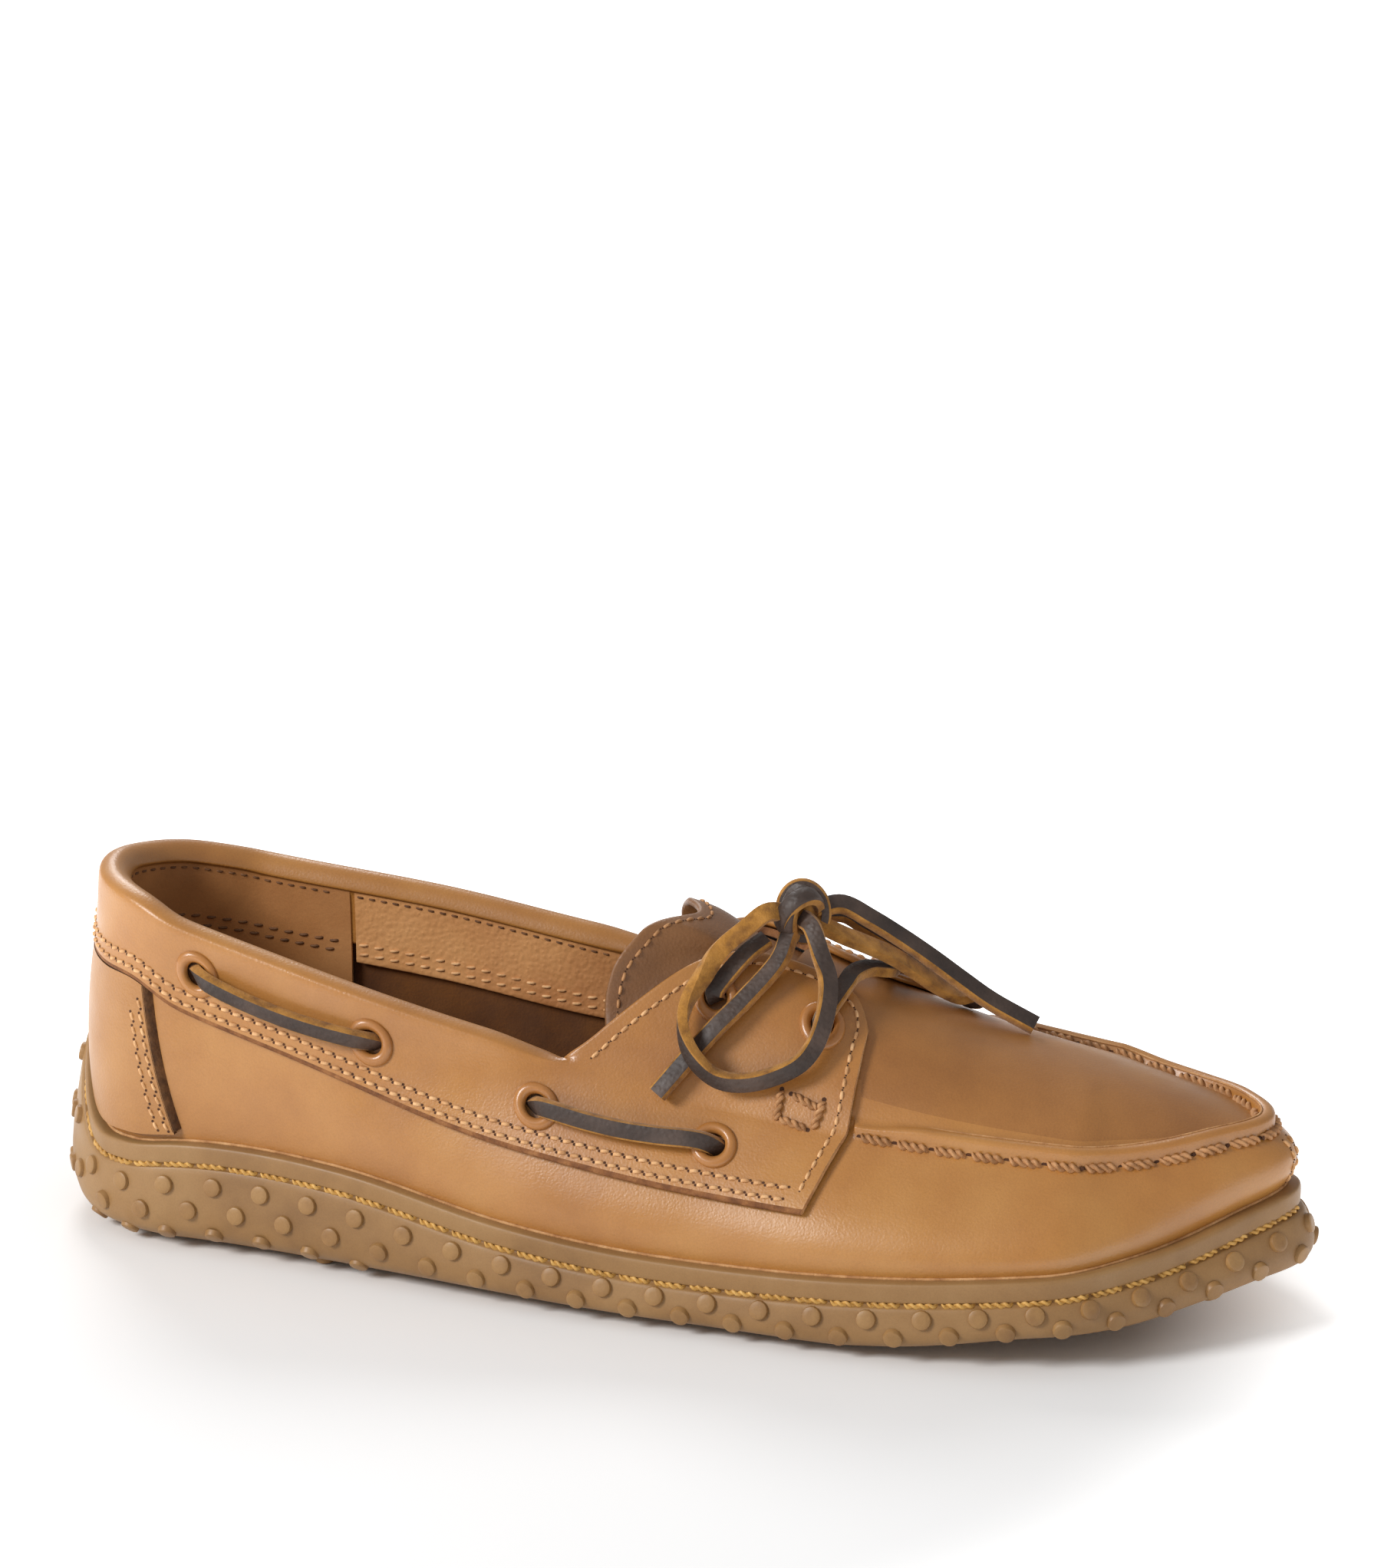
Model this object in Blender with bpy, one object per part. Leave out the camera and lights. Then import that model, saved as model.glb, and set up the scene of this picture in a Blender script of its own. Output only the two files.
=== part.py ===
"""A right boat shoe: gum rubber cup sole with nubs, one hollow leather upper with a standing moc-toe ridge,
a collar band that widens into two lace wings, tongue, insole, eyelets and a rawhide lace in a bow.

Frame: +X to the toe, +Y to the inner (medial) side, +Z up, z = 0 under the flat tops of the bottom nubs.
"""
from math import atan2, ceil, cos, degrees, hypot, pi, radians, sin

import bmesh
import bpy
from mathutils import Matrix, Vector

MM = 0.001

# Driving sizes
LENGTH = 265 * MM
BALL_WIDTH = 91 * MM
HEEL_WIDTH = 66 * MM
COLLAR_HEIGHT = 76 * MM
INSTEP_HEIGHT = 76 * MM
RIM_HEIGHT = 20 * MM
RIM_INSET = 5 * MM
TOE_SPRING = 10 * MM
ARCH_HEIGHT = 3 * MM
TOE_SWING = 4 * MM

# Walls, seats and clearances
GAP = 0.3 * MM
FACET_GAP = 0.4 * MM
EYELET_GAP = 0.5 * MM
LACE_GAP = 0.6 * MM
UPPER_WALL = 1.6 * MM
OVERLAY = 1.4 * MM
LIP = 3.0 * MM
GROOVE = 0.8 * MM
RIM_BAND = 4.4 * MM
SOLE_THICKNESS = 4.2 * MM
SOLE_EDGE = 7 * MM
INSOLE_THICKNESS = 3.0 * MM
INSOLE_GAP = 2.5 * MM
FEATHER_TUCK = 4.5 * MM
RIDGE_HEIGHT = 3.6 * MM
RIDGE_WIDTH = 3.4 * MM
COLLAR_PAD = 2.5 * MM
COLLAR_TURN_IN = 12 * MM
TONGUE_WALL = 1.6 * MM
TONGUE_FLARE = 3.5 * MM

# Nubs of the sole
NUB_HEIGHT = 0.9 * MM
NUB_WIDTH = 4.2 * MM
NUB_TOP = 3.5 * MM
NUB_PITCH = 14 * MM
NUB_ROW = 5.3 * MM
BOTTOM_PITCH = 19 * MM
BOTTOM_EDGE = 8.5 * MM
NUB_SIDES = 5

# Eyelets and lace
EYELET_WIDTH = 9.6 * MM
EYELET_HOLE = 5.0 * MM
EYELET_HEIGHT = 1.0 * MM
LACE_WIDTH = 3.7 * MM
LACE_THICKNESS = 2.2 * MM
LACE_DIAMETER = 2.9 * MM
LACE_STEP = 2.5
BAR_STEPS = 6
EYELET_SIDES = 8

# Stations: 0 is the middle of the heel, 1 the side of the heel round, 2 the side of the toe round, 3 the toe's tip.
# The outline is the reach from the centre line, as shares of the local width.
OUTLINE = {
    "at":      (0.00, 0.25, 0.50, 0.75, 1.00, 1.20, 1.40, 1.60, 1.80, 1.90, 2.00, 2.25, 2.50, 2.75, 3.00),
    "lateral": (.515, .508, .500, .495, .495, .505, .500, .505, .535, .525, .490, .425, .400, .430, .490),
    "medial":  (.515, .505, .495, .485, .475, .440, .375, .380, .455, .470, .455, .425, .415, .450, .490),
}
# Rubber rim: its top as shares of RIM_HEIGHT, and its inset of RIM_INSET.
RIM = {
    "at":    (0.00, 0.25, 0.50, 0.75, 1.00, 1.20, 1.40, 1.60, 1.80, 2.00, 2.25, 2.50, 2.75, 3.00),
    "top":   (2.18, 1.66, 1.15, 1.10, 1.17, 1.15, 0.85, 0.73, 0.80, 0.95, 1.03, 1.12, 1.28, 1.40),
    "inset": (1.00, 0.70, 0.44, 0.30, 0.30, 0.30, 0.30, 0.30, 0.30, 0.32, 0.40, 0.52, 0.60, 0.64),
}
# Toe lift as shares of TOE_SPRING, from the end of the forefoot's flat. The arch lies between the two flats.
SPRING = {
    "at":   (1.78, 1.85, 2.00, 2.25, 2.50, 2.75, 3.00),
    "lift": (0.00, 0.11, 0.50, 0.55, 0.72, 0.92, 1.00),
}
ARCH_START = 1.06
ARCH_TOP = 1.40
ARCH_END = 1.66
# Shoulder line: the collar's top, then the apron's seam. Insets are shares of the local width, heights of COLLAR_HEIGHT.
SHOULDER = {
    "at":             (0.00, 0.25, 0.50, 0.75, 1.00, 1.20, 1.40, 1.60, 1.80, 2.00, 2.25, 2.50, 2.75, 3.00),
    "lateral inset":  (.150, .150, .150, .150, .145, .150, .185, .220, .225, .205, .165, .125, .105, .095),
    "medial inset":   (.150, .150, .150, .145, .110, .060, .040, .070, .160, .180, .150, .115, .100, .095),
    "lateral height": (.968, .962, .954, .934, .886, .765, .655, .565, .510, .480, .475, .485, .505, .515),
    "medial height":  (.968, .958, .944, .922, .896, .832, .752, .695, .610, .550, .525, .515, .515, .515),
}
# Middle of the instep and apron, as shares of INSTEP_HEIGHT.
SPINE = {
    "at":     (1.00, 1.30, 1.50, 1.60, 1.70, 1.80, 1.90, 2.00),
    "height": (1.10, 1.08, 1.00, .935, .850, .765, .690, .635),
}
# Lower edge of the collar band, up the wall from 0 at the feather edge to 1 at the shoulder line.
BAND = {
    "at":   (0.00, 0.25, 0.50, 0.75, 1.00, 1.15, 1.30, 1.50, 1.77),
    "edge": (.640, .680, .730, .740, .690, .620, .555, .545, .540),
}
# Upper edge of a wing: above 1 it runs over the instep, 2 is the instep's middle.
WING = {
    "at":   (1.440, 1.467, 1.492, 1.533, 1.567, 1.592, 1.630, 1.667, 1.700, 1.733, 1.755, 1.765),
    "edge": (1.000, 1.060, 1.150, 1.316, 1.478, 1.586, 1.700, 1.760, 1.770, 1.720, 1.620, 1.480),
}
WING_BACK = WING["at"][0]
WING_FRONT = WING["at"][-1]
MEDIAL_WING_SHIFT = 0.03
WING_LEAN = 0.065
THROAT = 1.67
COLLAR_ROLL_END = 1.36
RIDGE_START = 1.772
RIDGE_FULL = 1.85
RIDGE_STEP = 0.004

# Tongue: rear edge across the instep, and where it lifts clear behind the wings.
TONGUE_REAR = {
    "across": (1.12, 1.20, 1.35, 1.55, 1.75, 2.00),
    "at":     (1.490, 1.485, 1.488, 1.508, 1.524, 1.530),
}
TONGUE_FRONT = 1.80

# Heel counter: forward edge, from the band down to the rim.
COUNTER_TOP = 0.80
COUNTER_FOOT = 1.00

# Eyelets: station and height on the wall or instep.
EYELETS = {
    "name": ("collar_1", "collar_2", "collar_3", "collar_4", "wing_1", "wing_2"),
    "at":      (1.025, 1.233, 1.425, 1.625, 1.600, 1.717),
    "lateral": (0.855, 0.812, 0.758, 0.780, 1.370, 1.424),
    "medial":  (0.855, 0.812, 0.758, 0.780, 1.480, 1.480),
}

# Crossings of the lace over the instep: side, station, height over the instep, and distance off the skin in mm.
LACE_CROSSINGS = {
    "lace_riser_near": ((-1, 1.618, 1.470, 3.6), (-1, 1.620, 1.590, 4.5), (-1, 1.636, 1.720, 5.9)),
    "lace_riser_far": ((1, 1.639, 1.640, 3.5), (1, 1.643, 1.770, 4.1), (1, 1.647, 1.900, 5.7)),
    "lace_bar_front": (
        (-1, 1.727, 1.540, 5.2), (-1, 1.728, 1.650, 5.0), (-1, 1.731, 1.780, 4.4), (-1, 1.741, 1.930, 3.9),
        (1, 1.758, 1.920, 3.6), (1, 1.768, 1.820, 3.6),
    ),
}
# The knot and the free runs from the knot outwards, in millimetres, chosen by hand.
KNOT_MIDDLE = (27, -2.5, 77)
KNOT_RADII = (6, 5, 7.5)
LACE_ROUTES = {
    "lace_loop_near": (
        (31.4, -7.4, 75.8), (33.9, -10.2, 71.6), (36.5, -13.3, 66.8), (37.1, -17.6, 60.9), (35.7, -21.0, 55.4),
        (32.3, -24.0, 51.8), (24.4, -25.2, 48.5), (17.9, -26.6, 48.8), (13.0, -27.3, 52.9), (9.8, -24.6, 57.7),
        (9.6, -21.4, 62.3), (12.0, -17.8, 67.2), (14.2, -14.4, 71.4), (18.6, -11.4, 75.4), (22.2, -8.6, 78.4),
    ),
    "lace_loop_far": (
        (35.4, -1.0, 72.9), (40.1, 1.0, 70.6), (45.0, 4.0, 67.6), (49.3, 7.0, 63.8), (53.7, 10.0, 59.8),
        (58.0, 13.4, 56.7), (60.2, 16.2, 56.0), (58.8, 18.6, 56.3), (54.0, 16.0, 60.2), (49.0, 12.0, 64.6),
        (43.5, 9.4, 68.9), (38.0, 7.4, 72.6), (34.2, 5.4, 75.2),
    ),
    "lace_end_near": (
        (25.2, -10.4, 68.9), (20.0, -16.7, 62.4), (16.0, -20.8, 58.1), (12.2, -23.2, 53.5), (5.5, -28.1, 44.8),
    ),
    "lace_end_far": (
        (35.0, 2.0, 78.2), (40.5, 4.0, 75.0), (46.1, 6.6, 70.8), (51.9, 8.6, 66.4), (57.8, 10.2, 61.8),
        (64.0, 11.4, 57.4), (72.9, 12.0, 53.0),
    ),
}

COLOURS = {
    "leather": ((0.53, 0.27, 0.10, 1), 0.5, 0),
    "counter leather": ((0.50, 0.25, 0.09, 1), 0.5, 0),
    "rubber": ((0.30, 0.20, 0.10, 1), 0.6, 0),
    "lining": ((0.42, 0.24, 0.11, 1), 0.8, 0),
    "eyelet paint": ((0.50, 0.26, 0.10, 1), 0.4, 0.2),
    "rawhide": ((0.07, 0.045, 0.035, 1), 0.55, 0),
}


def distance(at):
    """Rough distance round the outline to a station, so that curves run on evenly into the heel and toe rounds."""
    heel, middle, toe = HEEL_WIDTH * pi / 4, 0.7 * LENGTH, BALL_WIDTH * pi / 4
    return min(at, 1) * heel + min(max(at - 1, 0), 1) * middle + max(at - 2, 0) * toe


def curve(table, column, at, key="at"):
    """Smooth curve through a table's column, level at the heel's middle and at the toe's tip."""
    xs, ys = table[key], table[column]
    at = min(max(at, xs[0]), xs[-1])
    if key == "at":
        xs, at = [distance(x) for x in xs], distance(at)
    i = 0
    while i < len(xs) - 2 and at > xs[i + 1]:
        i += 1

    def slope(k):
        if k == 0:
            return 0.0 if xs[0] == 0 else (ys[1] - ys[0]) / (xs[1] - xs[0])
        if k == len(xs) - 1:
            return 0.0 if table[key][-1] == 3 else (ys[-1] - ys[-2]) / (xs[-1] - xs[-2])
        before, after = xs[k] - xs[k - 1], xs[k + 1] - xs[k]
        return ((ys[k] - ys[k - 1]) / before * after + (ys[k + 1] - ys[k]) / after * before) / (before + after)

    h = xs[i + 1] - xs[i]
    u = (at - xs[i]) / h
    return (
        (2 * u**3 - 3 * u * u + 1) * ys[i]
        + (u**3 - 2 * u * u + u) * h * slope(i)
        + (3 * u * u - 2 * u**3) * ys[i + 1]
        + (u**3 - u * u) * h * slope(i + 1)
    )


def ramp(start, end, value):
    u = min(max((value - start) / (end - start), 0), 1)
    return u * u * (3 - 2 * u)


def mix(a, b, share):
    return a + (b - a) * share


def width(at):
    return mix(HEEL_WIDTH, BALL_WIDTH, ramp(1.0, 1.6, at))


def side_name(side):
    return "lateral" if side < 0 else "medial"


def reach(at, side):
    return curve(OUTLINE, side_name(side), at) * width(at)


HEEL_X = reach(0, -1) - LENGTH / 2
TOE_X = LENGTH / 2 - reach(3, -1)


def place(at, side, r, z):
    """Point at distance r from the centre line, on the ray of a station."""
    if at <= 1:
        angle = radians(180 - 90 * at)
        return Vector((HEEL_X + r * cos(angle), side * r * sin(angle), z))
    if at <= 2:
        u = at - 1
        return Vector((mix(HEEL_X, TOE_X, u), TOE_SWING * ramp(0, 1, u) + side * r, z))
    angle = radians(90 - 90 * (at - 2))
    return Vector((TOE_X + r * cos(angle), TOE_SWING + side * r * sin(angle), z))


def rim_top(at):
    return curve(RIM, "top", at) * RIM_HEIGHT


def rim_reach(at, side):
    return reach(at, side) - curve(RIM, "inset", at) * RIM_INSET


def lift(at, side, share=1.0):
    """Height of the sole's under face above the nubs' flat spots; share is the way out from the centre line."""
    spring = max(curve(SPRING, "lift", at), 0)
    if at > 2:
        spring = mix(curve(SPRING, "lift", 2), spring, share)
    inner = 1.0 if side > 0 else 0.1
    rise = ramp(ARCH_START, ARCH_TOP, at) * (1 - ramp(ARCH_TOP, ARCH_END, at))
    arch = rise * mix(0.4, inner, share * share)
    return spring * TOE_SPRING + arch * ARCH_HEIGHT


def shoulder(at, side):
    name = side_name(side)
    r = reach(at, side) - curve(SHOULDER, name + " inset", at) * width(at)
    return r, curve(SHOULDER, name + " height", at) * COLLAR_HEIGHT


def spine(at):
    return curve(SPINE, "height", min(max(at, 1), 2)) * INSTEP_HEIGHT


def spine_slope(at):
    step = 0.01
    at = min(at, 2)
    return (spine(at) - spine(at - step)) / (step * (TOE_X - HEEL_X))


def leather_foot(at, side):
    """Reach and height of the leather where it leaves the rubber rim."""
    return rim_reach(at, side) - LIP, rim_top(at)


def floor_height(at, side, share=1.0):
    return lift(at, side, share) + NUB_HEIGHT + SOLE_THICKNESS


RIM_SHARE = 0.2
APRON_POWER = 2.2


def wall(at, side, up):
    """Outer leather from the feather edge (0) past the rim (RIM_SHARE) to the shoulder line (1)."""
    r_rim, z_rim = leather_foot(at, side)
    r_top, z_top = shoulder(at, side)
    if up < RIM_SHARE:
        u = up / RIM_SHARE
        z_foot = floor_height(at, side) + GAP
        return r_rim - FEATHER_TUCK * (1 - u) ** 2, mix(z_foot, z_rim, u)
    u = (up - RIM_SHARE) / (1 - RIM_SHARE)
    rise = z_top - z_rim
    belly = (0.4 + 2.0 * ramp(1.2, 1.8, at) + 1.6 * (1 - ramp(0.5, 1.2, at))) * MM
    lean = (1.0 + 5.5 * ramp(1.3, 1.7, at)) * MM
    knots = (
        (r_rim, z_rim),
        (r_rim + belly, z_rim + 0.36 * rise),
        (r_top + lean, z_top - 0.30 * rise),
        (r_top, z_top),
    )
    shares = ((1 - u) ** 3, 3 * u * (1 - u) ** 2, 3 * u * u * (1 - u), u**3)
    return tuple(sum(s * k[i] for s, k in zip(shares, knots)) for i in (0, 1))


def instep(at, side, across):
    """Top of the foot from the shoulder line (0) to its middle (1)."""
    r_top, z_top = shoulder(at, side)
    inwards = max(1 - across, 0)
    r = r_top * inwards
    slope = spine_slope(2) * cos(radians(90 - 90 * (at - 2))) if at > 2 else 0
    drop = spine(at) + slope * r_top - z_top
    return r, spine(at) + slope * r - drop * inwards**APRON_POWER


def skin(at, side, up):
    """Outer face of the upper: 0 to 1 on the wall, 1 to 2 over the instep."""
    if at < 0:
        at, side = -at, -side
    if at > 3:
        at, side = 6 - at, -side
    r, z = wall(at, side, up) if up <= 1 else instep(at, side, up - 1)
    return place(at, side, r, z)


def normal(at, side, up):
    """Outward normal of the skin."""
    if up > 1.995:
        return Vector((-spine_slope(at), 0, 1)).normalized()
    step = 0.01
    low, high = (up - step, min(up, 1)) if up <= 1 else (up, min(up + step, 1.999))
    if up == 1:
        low, high = 1 - step, 1 + step if at > WING_BACK else 1
    along = skin(at + step, side, up) - skin(at - step, side, up)
    rise = skin(at, side, high) - skin(at, side, max(low, 0))
    return (along.cross(rise) * -side).normalized()


def off_skin(at, side, up, distance):
    return skin(at, side, up) + normal(at, side, up) * distance


def wing_shift(side):
    return MEDIAL_WING_SHIFT if side > 0 else 0


def wing_edge(at, side):
    """Upper edge of the wing at a station; 1 along the collar."""
    return curve(WING, "edge", at - wing_shift(side))


def wing_rear(up, side):
    """Station of the wing's back edge at a height over the instep."""
    low, high = WING["at"][0], WING["at"][7]
    for _ in range(30):
        middle = (low + high) / 2
        if curve(WING, "edge", middle) < up:
            low = middle
        else:
            high = middle
    return low + wing_shift(side)


def steps(start, end, count):
    return [mix(start, end, i / count) for i in range(count + 1)]


def join_lists(*parts):
    """Ascending stations without repeats."""
    values = sorted(v for part in parts for v in part)
    return [v for i, v in enumerate(values) if i == 0 or v - values[i - 1] > 1e-4]


# Stations that neighbouring pieces share, so that their facets lie alongside
HEEL_STEPS = 6
TOE_STEPS = 8
ENDS = steps(0, 1, HEEL_STEPS) + steps(2, 3, TOE_STEPS)
WAIST = (1.12, 1.24, 1.30, COLLAR_ROLL_END, WING_BACK)
FOREPART = (1.74, SPRING["at"][0], 1.85, 1.92)


# Mesh helpers

def material(name):
    if name in bpy.data.materials:
        return bpy.data.materials[name]
    colour, roughness, metallic = COLOURS[name]
    made = bpy.data.materials.new(name)
    made.use_nodes = True
    shader = made.node_tree.nodes["Principled BSDF"]
    shader.inputs["Base Color"].default_value = colour
    shader.inputs["Roughness"].default_value = roughness
    shader.inputs["Metallic"].default_value = metallic
    return made


def finish(name, bm, paint):
    """Weld shared columns, face outwards, and add the object to the shoe's collection."""
    bmesh.ops.remove_doubles(bm, verts=bm.verts, dist=0.02 * MM)
    bmesh.ops.dissolve_degenerate(bm, edges=bm.edges, dist=0.001 * MM)
    bmesh.ops.recalc_face_normals(bm, faces=bm.faces)
    mesh = bpy.data.meshes.new(name)
    bm.to_mesh(mesh)
    bm.free()
    mesh.shade_smooth()
    mesh.set_sharp_from_angle(angle=radians(40))
    made = bpy.data.objects.new(name, mesh)
    made.data.materials.append(material(paint))
    SHOE.objects.link(made)
    return made


def loft(name, rings, paint, closed=False):
    """Solid through closed rings of equal length, with its two ends capped, or one that closes on itself."""
    bm = bmesh.new()
    grid = [[bm.verts.new(p) for p in ring] for ring in rings]
    count = len(rings[0])
    pairs = list(zip(grid, grid[1:])) + ([(grid[-1], grid[0])] if closed else [])
    for a, b in pairs:
        for j in range(count):
            bm.faces.new((a[j], a[(j + 1) % count], b[(j + 1) % count], b[j]))
    if not closed:
        bm.faces.new(grid[0])
        bm.faces.new(reversed(grid[-1]))
    return finish(name, bm, paint)


def sheet_ring(outer, inner):
    """Ring of a sheet's section: out along one face and back along the other."""
    return list(outer) + list(reversed(inner))


# Outsole

SOLE_STATIONS = join_lists(ENDS, WAIST, (1.55, THROAT), FOREPART)


def sole_side(at, side):
    """Named places of the outer side: under face, widest line and groove."""
    low = lift(at, side) + NUB_HEIGHT
    top = rim_top(at)
    groove = top - RIM_BAND
    return low, mix(low, groove, 0.45), groove, top


def sole_section(at, side):
    """Half section of the cup: under face, side, groove, rim, inner wall and floor."""
    low, wide, groove, top = sole_side(at, side)
    r, r_rim = reach(at, side), rim_reach(at, side)
    r_foot = leather_foot(at, side)[0]
    r_seat = r_foot - FEATHER_TUCK
    floor = floor_height(at, side)
    knots = [(r * share, lift(at, side, share) + NUB_HEIGHT) for share in (0, 0.5)]
    knots += [
        (r - SOLE_EDGE, low),
        (r - 0.45 * SOLE_EDGE, low + 0.10 * (groove - low)),
        (r - 0.10 * SOLE_EDGE, mix(low, wide, 0.5)),
        (r, wide),
        (mix(r, r_rim, 0.7), groove - GROOVE),
        (r_rim - GROOVE, groove),
        (r_rim, groove + GROOVE),
        (r_rim, top - 0.3 * RIM_BAND),
        (r_rim - 0.35 * LIP, top),
        (r_foot + FACET_GAP, top),
        (r_foot + FACET_GAP - 0.25 * FEATHER_TUCK, mix(floor, top, 0.5)),
        (r_seat + FACET_GAP, floor),
        (r_seat * 0.5, floor_height(at, side, 0.5)),
        (0, floor_height(at, side, 0)),
    ]
    return knots


def nub(bm, at_point, out):
    """One flat-topped nub, sunk by its own height into the rubber."""
    turn = out.to_track_quat("Z", "Y").to_matrix().to_4x4()
    bmesh.ops.create_cone(
        bm, cap_ends=True, segments=NUB_SIDES, radius1=NUB_WIDTH / 2, radius2=NUB_TOP / 2,
        depth=2 * NUB_HEIGHT, matrix=Matrix.Translation(at_point) @ turn,
    )


def outline_point(at, side):
    """Point of the outline, which carries on round the other side past either end."""
    if at < 0:
        at, side = -at, -side
    if at > 3:
        at, side = 6 - at, -side
    return place(at, side, reach(at, side), 0)


def sole_point(at, side, z):
    """Point and outward normal of the sole's side at a height."""
    knots = sole_section(at, side)[2:9]
    for (r0, z0), (r1, z1) in zip(knots, knots[1:]):
        if z <= z1:
            break
    share = min(max((z - z0) / (z1 - z0), 0), 1) if z1 > z0 else 0
    point = place(at, side, mix(r0, r1, share), z)
    step = 0.01
    along = (outline_point(at + step, side) - outline_point(at - step, side)).normalized()
    level = Vector((along.y, -along.x, 0)) * -side
    tilt = atan2(r0 - r1, z1 - z0)
    return point, (level * cos(tilt) + Vector((0, 0, 1)) * sin(tilt)).normalized()


def outline_walk(spacing, offset):
    """Stations a given distance apart along the outline, as (station, side)."""
    fine = steps(0, 3, 300)
    walk = [(at, -1) for at in fine] + [(at, 1) for at in reversed(fine)]
    length, marks = 0.0, [0.0]
    for (a, s), (b, t) in zip(walk, walk[1:]):
        length += (place(b, t, reach(b, t), 0) - place(a, s, reach(a, s), 0)).length
        marks.append(length)
    count = round(length / spacing)
    found = []
    k = 0
    for i in range(count):
        target = (i + offset) * length / count
        while marks[k + 1] < target:
            k += 1
        found.append(walk[k])
    return found


def side_nubs(bm):
    """Staggered rows below the groove, as many as the side's height takes, and a row on the lower edge."""
    for row in range(3):
        for at, side in outline_walk(NUB_PITCH, 0.5 * (row % 2)):
            low, _, groove, _ = sole_side(at, side)
            z = groove - 0.75 * NUB_ROW - row * NUB_ROW
            if z > low + 0.3 * NUB_ROW:
                nub(bm, *sole_point(at, side, z))


def bottom_nubs(bm):
    """Nubs of the under face in a triangular pattern."""
    row_step = BOTTOM_PITCH * cos(radians(30))
    rows = ceil(LENGTH / 2 / row_step)
    half = ceil(BALL_WIDTH / 2 / BOTTOM_PITCH) + 1
    for i in range(-rows, rows + 1):
        x = i * row_step
        for j in range(-half, half + 1):
            y = (j + 0.5 * (i % 2)) * BOTTOM_PITCH
            at, side, r = find_station(x, y)
            share = r / reach(at, side)
            if r < reach(at, side) - BOTTOM_EDGE:
                z = lift(at, side, share) + NUB_HEIGHT
                nub(bm, Vector((x, y, z)), Vector((0, 0, -1)))


def find_station(x, y):
    """Station, side and reach of a point in plan."""
    if x < HEEL_X:
        angle = degrees(atan2(abs(y), x - HEEL_X))
        return (180 - angle) / 90, 1 if y > 0 else -1, hypot(x - HEEL_X, y)
    if x < TOE_X:
        u = (x - HEEL_X) / (TOE_X - HEEL_X)
        y -= TOE_SWING * ramp(0, 1, u)
        return 1 + u, 1 if y > 0 else -1, abs(y)
    y -= TOE_SWING
    angle = degrees(atan2(abs(y), x - TOE_X))
    return 2 + (90 - angle) / 90, 1 if y > 0 else -1, hypot(x - TOE_X, y)


def full_loft(name, stations, section, paint):
    """Solid whose half sections start and end on the centre line."""
    bm = bmesh.new()
    for side in (-1, 1):
        grid = [[bm.verts.new(place(at, side, r, z)) for r, z in section(at, side)] for at in stations]
        for a, b in zip(grid, grid[1:]):
            for j in range(len(a) - 1):
                bm.faces.new((a[j], a[j + 1], b[j + 1], b[j]))
    return finish(name, bm, paint)


def outsole():
    sole = full_loft("outsole", SOLE_STATIONS, sole_section, "rubber")
    bm = bmesh.new()
    side_nubs(bm)
    bottom_nubs(bm)
    mesh = bpy.data.meshes.new("nubs")
    bm.to_mesh(mesh)
    bm.free()
    nubs = bpy.data.objects.new("nubs", mesh)
    nubs.hide_render = True
    nubs.display_type = "WIRE"
    CUTTERS.objects.link(nubs)
    join = sole.modifiers.new("nubs", "BOOLEAN")
    join.operation = "UNION"
    join.object = nubs
    return sole


# Upper

def upper_stations(side):
    """Stations of the shell; from the throat on, both sides have the same."""
    wing = [at + wing_shift(side) for at in WING["at"]]
    ridge = [RIDGE_START + wing_shift(s) + step for s in (-1, 1) for step in (-RIDGE_STEP, 0)]
    open_part = [at for at in wing if at < THROAT - 0.005]
    return join_lists(ENDS, WAIST[:-1], open_part, (THROAT, 1.71, FOREPART[0]), ridge, FOREPART[2:])


WALL_ROWS = (0, 0.1, RIM_SHARE, 0.45, 0.7, 0.93, 1)
INSTEP_ROWS = (0.06, 0.12, 0.2, 0.4, 0.7, 1)


def upper_edge(at, side):
    """How far over the instep the shell reaches: to the wings' edges, and to the middle ahead of the throat."""
    shift = wing_shift(side)
    if at <= WING["at"][1] + shift + 1e-4:
        return 0.0
    if at >= THROAT:
        return 1.0
    return min(wing_edge(at, side) - 1, 0.78) * 0.96


def ridge_height(at, side):
    start = RIDGE_START + wing_shift(side)
    if at < start - 1e-4:
        return 0.0
    return RIDGE_HEIGHT * mix(0.6, 1, ramp(start, RIDGE_FULL + wing_shift(side), at))


def crest(at, side):
    """Top of the shell's wall: it dips where the collar's roll opens out into a wing."""
    away = abs(at - WING_BACK - wing_shift(side) - 0.01)
    return 0.93 if away < 0.03 else 1


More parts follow.
